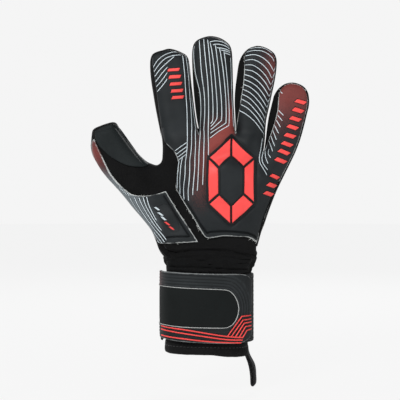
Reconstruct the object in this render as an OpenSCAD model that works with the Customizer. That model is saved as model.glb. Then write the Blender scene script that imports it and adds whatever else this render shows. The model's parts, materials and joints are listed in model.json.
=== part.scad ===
// Goalkeeper glove, right hand, one glove.
// +Z points towards the fingertips, +X towards the little finger, +Y out of the palm.
// Origin: centre of the wrist opening, at the lower edge of the cuff. Millimetres.

/* [Index finger] */
// Sideways place of the index knuckle hinge
index_x = -25.2; // [-26:0.1:-24.8]
// Height of the index knuckle hinge
index_z = 196; // [194:0.5:198]
// Lean of the index finger, to the thumb side when negative
index_lean = -7.7; // [-9:0.1:-7]
// Length from knuckle hinge to fingertip
index_len = 74.7; // [70:0.1:80]

/* [Middle finger] */
// Sideways place of the middle knuckle hinge
middle_x = 7; // [6.6:0.1:7.4]
// Height of the middle knuckle hinge
middle_z = 199; // [197:0.5:201]
// Lean of the middle finger
middle_lean = -2.8; // [-3.2:0.1:-2.4]
// Length from knuckle hinge to fingertip
middle_len = 81.7; // [76:0.1:86]

/* [Ring finger] */
// Sideways place of the ring knuckle hinge
ring_x = 34.2; // [34:0.1:35]
// Height of the ring knuckle hinge
ring_z = 188; // [186:0.5:190]
// Lean of the ring finger
ring_lean = 8.5; // [8:0.1:9.5]
// Length from knuckle hinge to fingertip
ring_len = 85; // [80:0.1:90]

/* [Little finger] */
// Sideways place of the little knuckle hinge
little_x = 61.3; // [61:0.1:62]
// Height of the little knuckle hinge
little_z = 178; // [176:0.5:180]
// Lean of the little finger
little_lean = 14.5; // [14:0.1:16]
// Length from knuckle hinge to fingertip
little_len = 62.5; // [58:0.1:68]

/* [Thumb] */
// Sideways place of the thumb base hinge
thumb_x = -42; // [-44:0.5:-41]
// Depth of both thumb hinges
thumb_y = 5; // [3:0.5:7]
// Height of the thumb base hinge
thumb_z = 125; // [123:0.5:128]
// Lean of the lower thumb
thumb_lean = -42; // [-46:0.5:-38]
// Lean of the upper thumb
thumb_tip_lean = -28; // [-32:0.5:-25]
// Length of the lower thumb
thumb_len = 44; // [40:0.5:48]
// Length of the upper thumb
thumb_tip_len = 48; // [44:0.5:52]

/* [Layers] */
// Thickness of the embossed backhand foam
foam_t = 5; // [3:0.5:6]
// Thickness of the palm latex with its foam backing
latex_t = 5; // [3:0.5:6]
// Thickness of the side fabric
gusset_t = 1.2; // [0.8:0.1:2]
// Depth from the back of a finger to its palm
finger_depth = 28; // [26:0.5:30]
// Plane of the flat palm
palm_y = 20; // [18:0.5:22]

/* [Cuff and strap] */
// Half width of the cuff sleeve
cuff_a = 36; // [34:0.5:37]
// Half depth of the cuff sleeve
cuff_b = 22.5; // [20:0.5:24]
// Height of the wrist bend above the cuff edge
wrist_z = 85; // [83:0.5:87]
// Lower edge of the wrist strap
strap_z0 = 13; // [11:0.5:15]
// Upper edge of the wrist strap
strap_z1 = 73; // [70:0.5:75]
// Length of the pull loop
loop_len = 30; // [24:1:36]

/* [Hidden] */
// joint angles, in degrees
knuckle_flex = 60;
knuckle_give = 10;   // away from the palm
middle_flex = 65;    // middle joint of a finger
thumb_flex = 22;     // thumb base
thumb_give = 6;
thumb_tip_flex = 30;
thumb_tip_give = 4;
wrist_bend = 25;     // each way

hinge_gap = 0.3;     // half the gap at a hinge line
seam_gap = 0.3;      // gap between neighbouring layers
lining_t = 1;
finger_mid_y = palm_y - finger_depth / 2;
finger_back_y = palm_y - finger_depth;

fabric = [0.05, 0.05, 0.05];
lining = [0.08, 0.08, 0.08];
sleeve = [0.06, 0.06, 0.06];
webbing = [0.04, 0.04, 0.04];
latex = [0.13, 0.14, 0.15];
foam = [0.15, 0.17, 0.18];

// ---- outlines run along an axis; cutting blocks are drawn well past the pieces they cut
// points are [x, z]
module along_y(y0, y1, points)
  translate([0, y1, 0]) rotate([90, 0, 0]) linear_extrude(y1 - y0) polygon(points);
// points are [y, z]
module along_x(x0, x1, points)
  translate([x0, 0, 0]) rotate([90, 0, 90]) linear_extrude(x1 - x0) polygon(points);
// points are [x, y]
module along_z(z0, z1, points) translate([0, 0, z0]) linear_extrude(z1 - z0) polygon(points);

function rect(x0, z0, x1, z1) = [[x0, z0], [x1, z0], [x1, z1], [x0, z1]];
function reversed(points) = [for (i = [len(points) - 1:-1:0]) points[i]];
// moves the first coordinate of every point
function shift(points, by) = [for (p = points) [p[0] + by, p[1]]];
// strip between an edge and the same edge shifted
function band(edge, width) = concat(edge, reversed(shift(edge, width)));

// V-shaped face of a hinge, as [y, z]; ys = back, pivot, palm side.
// The face lies on the given side of z (1 above, -1 below) and opens by half of each angle.
function hinge_line(ys, z, side, give, flex) = [
  [ys[0], z + side * (hinge_gap + (ys[1] - ys[0]) * tan(give / 2))],
  [ys[1], z + side * hinge_gap],
  [ys[2], z + side * (hinge_gap + (ys[2] - ys[1]) * tan(flex / 2))]];
// everything from a hinge face to the height z_end
function past_hinge(ys, z, side, give, flex, z_end) =
  concat(hinge_line(ys, z, side, give, flex), [[ys[2], z_end], [ys[0], z_end]]);

// ---- fingers
// name, hinge x, hinge z, lean, length, half widths towards -X and towards +X
// (each at the base, at mid_share of the length and at the tip), height of the middle joint
FINGERS = [
 ["index",  index_x,  index_z,  index_lean,  index_len,
  [16.6, 17.2, 17.6], [15.8, 16.6, 17.0], 35],
 ["middle", middle_x, middle_z, middle_lean, middle_len,
  [14.8, 16.2, 17.2], [14.9, 16.4, 17.0], 38],
 ["ring",   ring_x,   ring_z,   ring_lean,   ring_len,
  [12.4, 15.0, 16.6], [13.0, 14.4, 14.9], 39],
 ["little", little_x, little_z, little_lean, little_len,
  [12.4, 13.0, 13.4], [13.6, 15.0, 15.2], 29]];
// columns of the table
NAME = 0;
HINGE_X = 1;
HINGE_Z = 2;
LEAN = 3;
LENGTH = 4;
LEFT = 5;
RIGHT = 6;
JOINT = 7;

mid_share = 0.4;
finger_root = -16;      // where the finger layers start, below the hinge
finger_round = 17;      // height of the rounded tip
round_power = 0.77;     // below 1 makes the tip squarer than an ellipse
back_taper_z = 10;      // the back foam leans in above this height
back_taper = 4;
finger_inset = 0.6;     // side fabric, in from the finger outline
segment_reach = 14.6;   // half depth of the block that holds a finger segment
segment_ys = [finger_mid_y - segment_reach, finger_mid_y, finger_mid_y + segment_reach];

function round_tip(left, right, length, height) = [for (i = [0:12])
  let (angle = 15 * i, c = cos(angle), s = sin(angle))
  [(c > 0 ? right : -left) * pow(abs(c), round_power),
   length - height + height * pow(max(s, 0), round_power)]];
// outline of a finger, inset all round
function finger_outline(f, inset = 0) =
  let (left = [for (w = f[LEFT]) w - inset],
       right = [for (w = f[RIGHT]) w - inset],
       mid_z = mid_share * f[LENGTH])
  concat(
    [[-left[0], finger_root], [right[0], finger_root], [right[0], 2], [right[1], mid_z]],
    round_tip(left[2], right[2], f[LENGTH] - inset, finger_round - inset),
    [[-left[1], mid_z], [-left[0], 2]]);
// back of a finger, as [y, z]
function finger_back_edge(f) = [[finger_back_y, finger_root], [finger_back_y, back_taper_z],
  [finger_back_y + back_taper, f[LENGTH]]];

// what a segment may fill between two hinge lines
function segment_profile(z0, give0, flex0, z1, flex1) = concat(
  hinge_line(segment_ys, z0, 1, give0, flex0),
  reversed(hinge_line(segment_ys, z1, -1, 0, flex1)));
function joint_z(f) = f[JOINT] * cos(f[LEAN]);

// every finger hinge lies across the hand, along X, so curled fingers stay side by side
module finger_base(f) translate([f[HINGE_X], 0, f[HINGE_Z]]) intersection() {
  rotate([0, f[LEAN], 0]) children();
  along_x(-60, 60, segment_profile(0, knuckle_give, knuckle_flex, joint_z(f), middle_flex));
}
module finger_tip(f) translate([f[HINGE_X], 0, f[HINGE_Z]]) intersection() {
  rotate([0, f[LEAN], 0]) children();
  along_x(-80, 80, segment_profile(joint_z(f), 0, middle_flex, f[LENGTH] + 20, 0));
}

module finger_back(f) intersection() {
  along_y(finger_back_y - 1, finger_mid_y, finger_outline(f));
  along_x(-40, 40, band(finger_back_edge(f), foam_t));
}
module finger_palm(f) along_y(palm_y - latex_t, palm_y, finger_outline(f));
module finger_gusset(f) {
  front_y = palm_y - latex_t - seam_gap;
  intersection() {
    difference() {
      along_y(finger_back_y, palm_y, finger_outline(f, finger_inset));
      along_y(finger_back_y - 1, palm_y + 1, finger_outline(f, finger_inset + gusset_t));
    }
    along_x(-40, 40, concat(shift(finger_back_edge(f), foam_t + seam_gap),
      [[front_y, f[LENGTH]], [front_y, finger_root]]));
  }
}

module back_base(f) color(foam) finger_base(f) finger_back(f);
module back_tip(f) color(foam) finger_tip(f) finger_back(f);
module palm_base(f) color(latex) finger_base(f) finger_palm(f);
module palm_tip(f) color(latex) finger_tip(f) finger_palm(f);
// side -1 is the strip towards the thumb, 1 the one towards the little finger
module gusset_strip(f, side) color(fabric) finger_base(f) intersection() {
  finger_gusset(f);
  along_y(-40, 40, rect(0, -20, 30 * side, 60));
}
module gusset_tip(f) color(fabric) finger_tip(f) finger_gusset(f);

// ---- thumb: local +X is its palm side, local -X its back
// direction in which each hinge closes, in degrees from local +X towards +Y
base_turn = 95;
tip_turn = 30;
thumb_half_y = 14;
thumb_half_x = 17;     // of the lower thumb
thumb_wall = 4;        // thickness of the back and latex layers
wrap_t = 1.6;          // thickness of the latex on the two faces of the upper thumb
tip_back_inset = 2;
tip_fabric_inset = 2.6;
tip_fabric_t = 1;
// edges of the upper thumb, as [x, z]
back_edge = [[-17, -10], [-17, 12], [-15.5, 28], [-11.5, 40], [-9, thumb_tip_len]];
palm_edge = [[17, -10], [16.5, 12], [15, 28], [12.5, 40], [10.5, thumb_tip_len]];
// latex on a face: its free edge, then the palm edge, overlapping the palm layer by 0.1
wrap_outline = concat([[-6, 8], [-11, 30], [-7, thumb_tip_len]],
  reversed(shift([for (i = [1:4]) palm_edge[i]], 0.1 - thumb_wall)));

module at_thumb() translate([thumb_x, thumb_y, thumb_z]) rotate([0, thumb_lean, 0]) children();
module at_thumb_tip()
  translate([thumb_x + thumb_len * sin(thumb_lean), thumb_y,
             thumb_z + thumb_len * cos(thumb_lean)])
  rotate([0, thumb_tip_lean, 0]) children();

// everything above (side 1) or below (side -1) a hinge;
// face says on which side of the hinge line the face itself lies
module hinge_side(turn, give, flex, side, face, reach = 40) rotate([0, 0, turn - 90])
  along_x(-60, 60, past_hinge([-reach, 0, reach], 0, face, give, flex, 90 * side));
module lower_thumb() intersection() {
  children();
  hinge_side(base_turn, thumb_give, thumb_flex, side = 1, face = 1);
  translate([0, 0, thumb_len]) rotate([0, thumb_tip_lean - thumb_lean, 0])
    hinge_side(tip_turn, thumb_tip_give, thumb_tip_flex, side = -1, face = -1);
}
module upper_thumb() intersection() {
  children();
  hinge_side(tip_turn, thumb_tip_give, thumb_tip_flex, side = 1, face = 1);
}
module lower_layer(x0, x1, y0 = -thumb_half_y, y1 = thumb_half_y)
  at_thumb() lower_thumb() along_y(y0, y1, rect(x0, -20, x1, 60));

module thumb_back_base() color([0.25, 0.22, 0.22])
  lower_layer(-thumb_half_x, -thumb_half_x + thumb_wall);
module thumb_latex_base() color(latex) lower_layer(thumb_half_x - thumb_wall, thumb_half_x);
module thumb_gusset(y) {
  half_x = thumb_half_x - thumb_wall - seam_gap;
  color(fabric) lower_layer(-half_x, half_x, y, y + gusset_t);
}
module thumb_gusset_back() thumb_gusset(-thumb_half_y);
module thumb_gusset_front() thumb_gusset(thumb_half_y - gusset_t);
module thumb_back_tip() {
  half_y = thumb_half_y - tip_back_inset;
  color([0.55, 0.15, 0.15]) at_thumb_tip() upper_thumb()
    along_y(-half_y, half_y, band(back_edge, thumb_wall));
}
module thumb_latex_wrap() color([0.14, 0.16, 0.16]) at_thumb_tip() upper_thumb() {
  along_y(-thumb_half_y, thumb_half_y, band(palm_edge, -thumb_wall));
  along_y(-thumb_half_y, -thumb_half_y + wrap_t, wrap_outline);
  along_y(thumb_half_y - wrap_t, thumb_half_y, wrap_outline);
}
// two faces of fabric, joined by a strip across the tip
module thumb_gusset_tip() {
  half_y = thumb_half_y - tip_fabric_inset;
  inset = thumb_wall + seam_gap;
  color(fabric) at_thumb_tip() upper_thumb() {
    for (side = [-1, 1]) translate([0, side * half_y, 0])
      along_y(-tip_fabric_t / 2, tip_fabric_t / 2,
        concat(shift(back_edge, inset), reversed(shift(palm_edge, -inset))));
    translate([0, 0, thumb_tip_len - 1.4]) along_y(-half_y, half_y, rect(-4.6, 0, 6, 1.2));
  }
}

// ---- hand
edge_fabric_t = 1.4;   // width in X of the fabric down each side of the hand
gusset_front_y = 13.2;
// surface of the back of the hand, as [y, z]
hand_back = [[-17.5, 95], [-19.5, 125], [-19.5, 150], [-9, 196], [finger_back_y, 204]];
// outlines, as [x, z]
backhand_outline = [[1, 104], [-11, 121.4], [-21.2, 137], [-27, 147], [-28, 154], [-26, 162],
  [-26.5, 172], [-30, 179], [-41, 190], [-42, 196], [-9, 202], [22.5, 201], [48.5, 188],
  [75, 178], [69.5, 161], [62, 150], [54.4, 133.3], [47.6, 113.9], [42.2, 99.7],
  [33, 103.6], [20, 104.5]];
palm_outline = [[-36, 104], [-38, 116], [-33, 132], [-33, 146], [-41, 160], [-42, 196],
  [-9, 202], [22.5, 201], [48.5, 188], [74, 178], [69, 161], [61, 150], [53, 133],
  [46, 114], [41, 104]];
knuckle_trim = [[-60, 200], [-60, 186], [-8.6, 199], [22, 198], [48.2, 185], [90, 170],
  [90, 220], [-60, 220]];
badge_outline = [[21.3, 184], [39, 168], [39, 132], [21.3, 115], [3.6, 132], [3.6, 168]];
thumb_side_outline = [[-60.5, 125], [-47, 139], [-38, 142], [-28, 128.7], [-8.5, 100],
  [-41, 98.7], [-50, 108]];
outer_edge = [[41, 104.5], [47, 116], [53.6, 133], [61.2, 150], [68.5, 161], [73, 175]];
web_edge = [[-28.5, 147], [-31, 158], [-33, 168], [-39.5, 186], [-41, 190]];
// side profiles, as [y, z]
badge_profile = [[-20.0, 105], [-20.9, 125], [-20.9, 150], [-12.7, 186],
  [-11.8, 186], [-19.9, 150], [-19.9, 125], [-18.7, 105]];
outer_profile = [[-11, 95], [-13, 125], [-13, 150], [-2, 196],
  [gusset_front_y, 196], [gusset_front_y, 95]];
web_profile = [[-12, 95], [-12, 150], [-1.5, 196],
  [gusset_front_y, 196], [gusset_front_y, 95]];

module hand_block(outline) along_y(-40, 30, outline);
module hand_profile(profile) along_x(-80, 90, profile);

// room for the four fingers to turn
module finger_room() for (f = FINGERS) translate([f[HINGE_X], 0, f[HINGE_Z]])
  along_x(-f[LEFT][0] - 1, f[RIGHT][0] + 1,
    past_hinge([-60, finger_mid_y, 60], 0, -1, knuckle_give, knuckle_flex, 60));
module top_trim() difference() {
  children();
  finger_room();
  along_y(-40, 40, knuckle_trim);
}
// room for the thumb to turn
module thumb_room() at_thumb() intersection() {
  hinge_side(base_turn, thumb_give, thumb_flex, side = 1, face = -1, reach = 60);
  along_y(-60, 60, [[-60, -40], [thumb_half_x + 1.5, -40], [thumb_half_x + 1.5, 0],
    [thumb_half_x + 12, 50], [thumb_half_x + 12, 90], [-60, 90]]);
}

module backhand_layer(depth, thickness) top_trim() intersection() {
  hand_block(backhand_outline);
  hand_profile(band(shift(hand_back, depth), thickness));
}
module backhand_panel() color([0.16, 0.18, 0.19]) backhand_layer(0, foam_t);
module backhand_lining() color(lining) backhand_layer(foam_t + seam_gap, lining_t);
// a plain tall hexagon, raised on the back of the hand
module backhand_badge() color([0.95, 0.25, 0.25]) intersection() {
  hand_block(badge_outline);
  hand_profile(badge_profile);
}
module thumb_side_panel() color([0.17, 0.19, 0.2]) difference() {
  along_y(-16.5, -12.5, thumb_side_outline);
  thumb_room();
}
module palm_layer(y0, y1) difference() {
  top_trim() along_y(y0, y1, palm_outline);
  thumb_room();
}
module palm_latex() color(latex) palm_layer(palm_y - latex_t, palm_y);
module palm_lining() {
  front_y = palm_y - latex_t - seam_gap;
  color(lining) palm_layer(front_y - lining_t, front_y);
}
module outer_side_gusset() color(fabric) top_trim() intersection() {
  hand_block(band(outer_edge, -edge_fabric_t));
  hand_profile(outer_profile);
}
module thumb_web_gusset() color(fabric) difference() {
  top_trim() intersection() {
    along_y(-12, gusset_front_y, band(web_edge, edge_fabric_t));
    hand_profile(web_profile);
  }
  thumb_room();
}
// small pieces, pointed at the wrist end, where two fingers part
module crotch(x, z) color(fabric) translate([x, 0, z])
  along_y(0.5, 8, [[-1, 0], [0, -2], [1, 0], [1, 5], [-1, 5]]);
module index_middle_crotch() crotch(-9.4, 184);
module middle_ring_crotch() crotch(21.4, 182);
module ring_little_crotch() crotch(47.6, 168);

// ---- wrist: squarish ovals, sized by half = [half width, half depth]
cuff = [cuff_a, cuff_b];
elastic = [37.5, 23];
sleeve_t = 1.6;
sleeve_z0 = 8;
elastic_z1 = 98;
oval_power = 0.85;

function oval_point(half, angle) = let (c = cos(angle), s = sin(angle))
  [half[0] * sign(c) * pow(abs(c), oval_power), half[1] * sign(s) * pow(abs(s), oval_power)];
function oval(half, n = 40) = [for (i = [0:n - 1]) oval_point(half, 360 * i / n)];
function oval_arc(half, from, to, n = 24) =
  [for (i = [0:n]) oval_point(half, from + (to - from) * i / n)];

module tube(half, t, z0, z1) difference() {
  along_z(z0, z1, oval(half));
  along_z(z0 - 1, z1 + 1, oval(half - [t, t]));
}
// part of a tube around the cuff; over = how far its outside stands off the cuff in X and Y
module wrap(over, t, from, to, z0, z1) along_z(z0, z1, concat(
  oval_arc(cuff + over, from, to),
  reversed(oval_arc(cuff + over - [t, t], from, to))));
module wrist_side(side, z_end)
  along_x(-60, 60, past_hinge([-40, 0, 40], wrist_z, side, wrist_bend, wrist_bend, z_end));

module wrist_elastic() color(sleeve) intersection() {
  tube(elastic, sleeve_t, wrist_z, elastic_z1);
  wrist_side(1, elastic_z1);
}
module cuff_sleeve() color(sleeve) intersection() {
  tube(cuff, sleeve_t, sleeve_z0, wrist_z);
  wrist_side(-1, sleeve_z0);
}
module cuff_hem() color(fabric) tube(cuff + [0.4, 0.4], 2.6, 0, sleeve_z0 - seam_gap);
module loop_patch() color(fabric)
  wrap(over = [1.2, 1.2], t = 1, from = 225, to = 315, z0 = 20, z1 = 66);
module strap_band() color([0.14, 0.15, 0.16])
  wrap(over = [2.8, 2.8], t = 2.4, from = -38, to = 186, z0 = strap_z0 + 1, z1 = strap_z1 - 1);
module strap_flap() color(foam)
  wrap(over = [6, 6.2], t = 2.6, from = 190, to = 345, z0 = strap_z0, z1 = strap_z1);
module strap_inset() color([0.07, 0.08, 0.08])
  wrap(over = [7, 7.2], t = 0.8, from = 195, to = 318, z0 = strap_z0 + 12, z1 = strap_z1 - 14);
module hook_patch() color(webbing)
  wrap(over = [3.2, 3.4], t = 0.8, from = 232, to = 308, z0 = 22, z1 = 64);

// ---- pull loop: webbing folded in two, hanging below the cuff
loop_x = 35;
loop_w = 9;
fold_z = 3.6 - loop_len;   // centre of the fold
// a straight run of the given height above a round fold
module fold(r, width, height) {
  translate([-r, -width / 2, fold_z]) cube([2 * r, width, height]);
  translate([0, width / 2, fold_z]) rotate([90, 0, 0]) cylinder(r = r, h = width, $fn = 48);
}
module pull_loop_anchor() color(webbing)
  translate([loop_x - 3.8, -loop_w / 2, -0.6]) cube([1.2, loop_w, 7]);
module pull_loop() color(webbing)
  translate([loop_x, 0, -2.6]) rotate([0, -12, 0]) difference() {
    fold(r = 2.2, width = loop_w, height = loop_len - 4.4);
    fold(r = 0.6, width = loop_w + 1, height = loop_len - 9);
  }

for (f = FINGERS) {
  back_base(f);
  back_tip(f);
  palm_base(f);
  palm_tip(f);
  gusset_strip(f, -1);
  gusset_strip(f, 1);
  gusset_tip(f);
}
thumb_back_base();
thumb_back_tip();
thumb_latex_base();
thumb_latex_wrap();
thumb_gusset_back();
thumb_gusset_front();
thumb_gusset_tip();
backhand_panel();
backhand_lining();
backhand_badge();
thumb_side_panel();
palm_latex();
palm_lining();
outer_side_gusset();
thumb_web_gusset();
index_middle_crotch();
middle_ring_crotch();
ring_little_crotch();
wrist_elastic();
cuff_sleeve();
cuff_hem();
strap_band();
loop_patch();
pull_loop_anchor();
strap_flap();
strap_inset();
hook_patch();
pull_loop();
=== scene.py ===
import json
import math
import bpy
import numpy as np
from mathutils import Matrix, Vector, noise
from mathutils.geometry import delaunay_2d_cdt


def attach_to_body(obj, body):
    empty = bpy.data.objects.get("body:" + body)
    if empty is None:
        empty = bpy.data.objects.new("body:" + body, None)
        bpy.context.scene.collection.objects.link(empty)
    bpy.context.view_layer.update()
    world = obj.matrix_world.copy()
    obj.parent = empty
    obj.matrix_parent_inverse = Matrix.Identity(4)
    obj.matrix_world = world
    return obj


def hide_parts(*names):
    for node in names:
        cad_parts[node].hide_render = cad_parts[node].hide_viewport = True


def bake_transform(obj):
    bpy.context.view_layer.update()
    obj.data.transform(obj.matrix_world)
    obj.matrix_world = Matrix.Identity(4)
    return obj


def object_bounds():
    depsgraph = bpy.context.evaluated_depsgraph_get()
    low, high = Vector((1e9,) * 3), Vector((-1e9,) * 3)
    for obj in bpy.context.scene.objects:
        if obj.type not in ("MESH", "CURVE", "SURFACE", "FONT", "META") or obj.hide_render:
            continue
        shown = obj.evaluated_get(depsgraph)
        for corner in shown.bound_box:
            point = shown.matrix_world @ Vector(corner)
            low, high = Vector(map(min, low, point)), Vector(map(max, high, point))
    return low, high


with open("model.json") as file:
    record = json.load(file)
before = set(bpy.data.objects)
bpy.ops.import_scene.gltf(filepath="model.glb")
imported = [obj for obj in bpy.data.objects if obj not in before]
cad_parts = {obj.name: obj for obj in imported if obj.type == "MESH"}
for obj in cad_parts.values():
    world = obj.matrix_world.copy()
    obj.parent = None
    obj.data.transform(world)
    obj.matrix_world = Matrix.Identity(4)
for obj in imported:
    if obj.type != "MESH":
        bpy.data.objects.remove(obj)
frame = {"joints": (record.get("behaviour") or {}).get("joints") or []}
CAD_BOX = [list(v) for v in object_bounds()]
MM = 0.001
JOINT = {j["name"]: np.array(j["pos_m"]) * 1000 for j in frame["joints"]}

# ------------------------------------------------------------------ flat geometry helpers (millimetres)
VIEW_C = np.array([-6.6, 136.4])
VIEW_D = 831.0


def mm(text):
    return np.array([[float(a) for a in p.split(",")] for p in text.split()])


def unit(v):
    v = np.asarray(v, float)
    return v / np.maximum(np.linalg.norm(v, axis=-1, keepdims=True), 1e-12)


def curve(P, step=1.2, closed=False, sharp=55):
    """A smooth line through P: round at gentle bends, cornered at sharp ones."""
    P = np.asarray(P, float)
    n = len(P)
    nxt, prv = np.roll(P, -1, 0), np.roll(P, 1, 0)
    if not closed:
        nxt[-1], prv[0] = P[-1], P[0]
    U = unit(nxt - prv)
    a, b = unit(P - prv), unit(nxt - P)
    turn = np.degrees(np.arccos(np.clip((a * b).sum(1), -1, 1)))
    if not closed:
        turn[0] = turn[-1] = 0
    corner = turn > sharp
    out = []
    for i in range(n if closed else n - 1):
        j = (i + 1) % n
        L = np.linalg.norm(P[j] - P[i])
        if L < 1e-9:
            continue
        k = max(1, int(math.ceil(L / step)))
        t = (np.arange(k) / k)[:, None]
        d = (P[j] - P[i])
        m0 = d if corner[i] else U[i] * L
        m1 = d if corner[j] else U[j] * L
        out.append((2 * t**3 - 3 * t**2 + 1) * P[i] + (t**3 - 2 * t**2 + t) * m0 + (-2 * t**3 + 3 * t**2) * P[j] + (t**3 - t**2) * m1)
    if not closed:
        out.append(P[-1:])
    return np.concatenate(out)


def seg_dist(P, line, closed=False, keep=None):
    """Distance of each point to a line of segments."""
    P = np.asarray(P, float)
    A = line
    B = np.roll(line, -1, 0)
    if not closed:
        A, B = A[:-1], B[:-1]
    if keep is not None:
        A, B = A[keep], B[keep]
    D = B - A
    L2 = np.maximum((D * D).sum(1), 1e-12)
    out = np.empty(len(P))
    for i in range(0, len(P), 3000):
        q = P[i:i + 3000, None, :] - A[None]
        t = np.clip((q * D[None]).sum(2) / L2, 0, 1)
        e = q - t[..., None] * D[None]
        out[i:i + 3000] = np.sqrt((e * e).sum(2).min(1))
    return out


def inside(P, poly):
    A, B = poly, np.roll(poly, -1, 0)
    out = np.zeros(len(P), bool)
    for i in range(0, len(P), 3000):
        x, z = P[i:i + 3000, 0][:, None], P[i:i + 3000, 1][:, None]
        c = ((A[:, 1] > z) != (B[:, 1] > z)) & (x < (B[:, 0] - A[:, 0]) * (z - A[:, 1]) / np.where(B[:, 1] == A[:, 1], 1e-12, B[:, 1] - A[:, 1]) + A[:, 0])
        out[i:i + 3000] = c.sum(1) % 2 == 1
    return out


def area(poly):
    x, z = poly[:, 0], poly[:, 1]
    return 0.5 * (x * np.roll(z, -1) - z * np.roll(x, -1)).sum()


def inward(poly):
    t = unit(np.roll(poly, -1, 0) - np.roll(poly, 1, 0))
    n = np.stack([-t[:, 1], t[:, 0]], 1)
    return n if area(poly) > 0 else -n


def hexgrid(lo, hi, s):
    rows = np.arange(lo[1], hi[1], s * 0.866)
    pts = [np.stack([np.arange(lo[0] + (s / 2 if k % 2 else 0), hi[0], s), np.full(len(np.arange(lo[0] + (s / 2 if k % 2 else 0), hi[0], s)), r)], 1) for k, r in enumerate(rows)]
    return np.concatenate(pts)


def thin(pts, s):
    """Drops points that come closer than s to one already kept."""
    cell, keep = {}, []
    for i, (x, z) in enumerate(pts):
        cx, cz = int(math.floor(x / s)), int(math.floor(z / s))
        near = False
        for a in (-1, 0, 1):
            for b in (-1, 0, 1):
                for j in cell.get((cx + a, cz + b), ()):
                    if (pts[j][0] - x) ** 2 + (pts[j][1] - z) ** 2 < s * s:
                        near = True
        if not near:
            cell.setdefault((cx, cz), []).append(i)
            keep.append(i)
    return pts[keep]


def triangulate(poly, rows, step, extra=()):
    """Triangles that fill a closed outline. Returns points, triangles and each point's distance to the outline."""
    inn = inward(poly)
    rings = []
    for d in rows:
        q = poly + inn * d
        ok = inside(q, poly)
        q = q[ok]
        q = q[seg_dist(q, poly, True) > 0.9 * d]
        rings.append(thin(q, max(0.6, min(step, 0.55 + d * 0.35))))
    g = hexgrid(poly.min(0), poly.max(0), step)
    g = g[inside(g, poly)]
    g = g[seg_dist(g, poly, True) > rows[-1] + step * 0.45]
    if len(extra):
        ex = np.concatenate(extra)
        ex = ex[inside(ex, poly)]
        ex = thin(ex[seg_dist(ex, poly, True) > rows[-1] * 0.6], 0.55)
        if len(ex):
            from_ex = np.ones(len(g), bool)
            for i in range(0, len(g), 2000):
                d2 = ((g[i:i + 2000, None] - ex[None]) ** 2).sum(2).min(1)
                from_ex[i:i + 2000] = d2 > (step * 0.55) ** 2
            g = np.concatenate([g[from_ex], ex])
    allp = np.concatenate([poly] + rings + [g])
    m = len(poly)
    res = delaunay_2d_cdt([Vector(p) for p in allp], [], [list(range(m))], 1, 1e-7)
    V = np.array([tuple(v) for v in res[0]])
    T = np.array([f for f in res[2] if len(f) == 3])
    a = V[T[:, 1]] - V[T[:, 0]]
    b = V[T[:, 2]] - V[T[:, 0]]
    flip = (a[:, 0] * b[:, 1] - a[:, 1] * b[:, 0]) < 0
    T[flip] = T[flip][:, ::-1]
    return V, T, seg_dist(V, poly, True)


def prof(t, p):
    t = np.clip(t, 0, 1)
    return (1 - (1 - t) ** p) ** (1 / p)


def smooth(a, b, x):
    t = np.clip((x - a) / (b - a), 0, 1)
    return t * t * (3 - 2 * t)


# ------------------------------------------------------------------ meshes
class M:
    def __init__(self, V, F, mi=0, A=None):
        self.V = np.asarray(V, float).reshape(-1, 3)
        self.F = np.asarray(F, int).reshape(-1, 3)
        self.mi = np.full(len(self.F), mi) if np.isscalar(mi) else np.asarray(mi)
        self.A = dict(A or {})
        self.N = normals(self.V, self.F)


def normals(V, F):
    n = np.zeros_like(V)
    if len(F):
        c = np.cross(V[F[:, 1]] - V[F[:, 0]], V[F[:, 2]] - V[F[:, 0]])
        for k in range(3):
            np.add.at(n, F[:, k], c)
    return unit(n)


def join(*ms):
    ms = [m for m in ms if m is not None and len(m.V)]
    off = np.cumsum([0] + [len(m.V) for m in ms])
    names = sorted({k for m in ms for k in m.A})
    out = M(np.zeros((0, 3)), np.zeros((0, 3), int))
    out.V = np.concatenate([m.V for m in ms])
    out.F = np.concatenate([m.F + o for m, o in zip(ms, off)])
    out.mi = np.concatenate([m.mi for m in ms])
    out.N = np.concatenate([m.N for m in ms])
    out.A = {k: np.concatenate([m.A.get(k, np.full(len(m.V), 9.0 if k == "edge" else 0.0)) for m in ms]) for k in names}
    return out


def pick(m, faces):
    F = m.F[faces]
    if not len(F):
        return None
    used, inv = np.unique(F, return_inverse=True)
    out = M(np.zeros((0, 3)), np.zeros((0, 3), int))
    out.V, out.F, out.mi, out.N = m.V[used], inv.reshape(-1, 3), m.mi[faces], m.N[used]
    out.A = {k: v[used] for k, v in m.A.items()}
    return out


def build(name, m, mats):
    me = bpy.data.meshes.new(name)
    me.from_pydata([tuple(v) for v in m.V * MM], [], [tuple(int(i) for i in f) for f in m.F])
    for mat in mats:
        me.materials.append(mat)
    me.polygons.foreach_set("material_index", m.mi.astype(np.int32))
    me.polygons.foreach_set("use_smooth", np.ones(len(m.F), bool))
    a = me.attributes.new("rco", "FLOAT_VECTOR", "POINT")
    a.data.foreach_set("vector", (m.V * MM).astype(np.float32).ravel())
    for k in ("edge", "red", "fade"):
        v = m.A.get(k, np.full(len(m.V), 9.0 if k == "edge" else 0.0))
        b = me.attributes.new(k, "FLOAT", "POINT")
        b.data.foreach_set("value", v.astype(np.float32))
    me.update()
    me.normals_split_custom_set_from_vertices([tuple(v) for v in m.N])
    o = bpy.data.objects.new(name, me)
    bpy.context.scene.collection.objects.link(o)
    return o


def wrinkle(V, N, amp, scale, seed=0.0, stretch=(1, 1, 1)):
    st = np.array(stretch)
    h = np.array([noise.fractal(Vector(tuple(v * scale * st + seed)), 1.0, 2.0, 3) for v in V])
    return V + N * (h * amp)[:, None]


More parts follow.
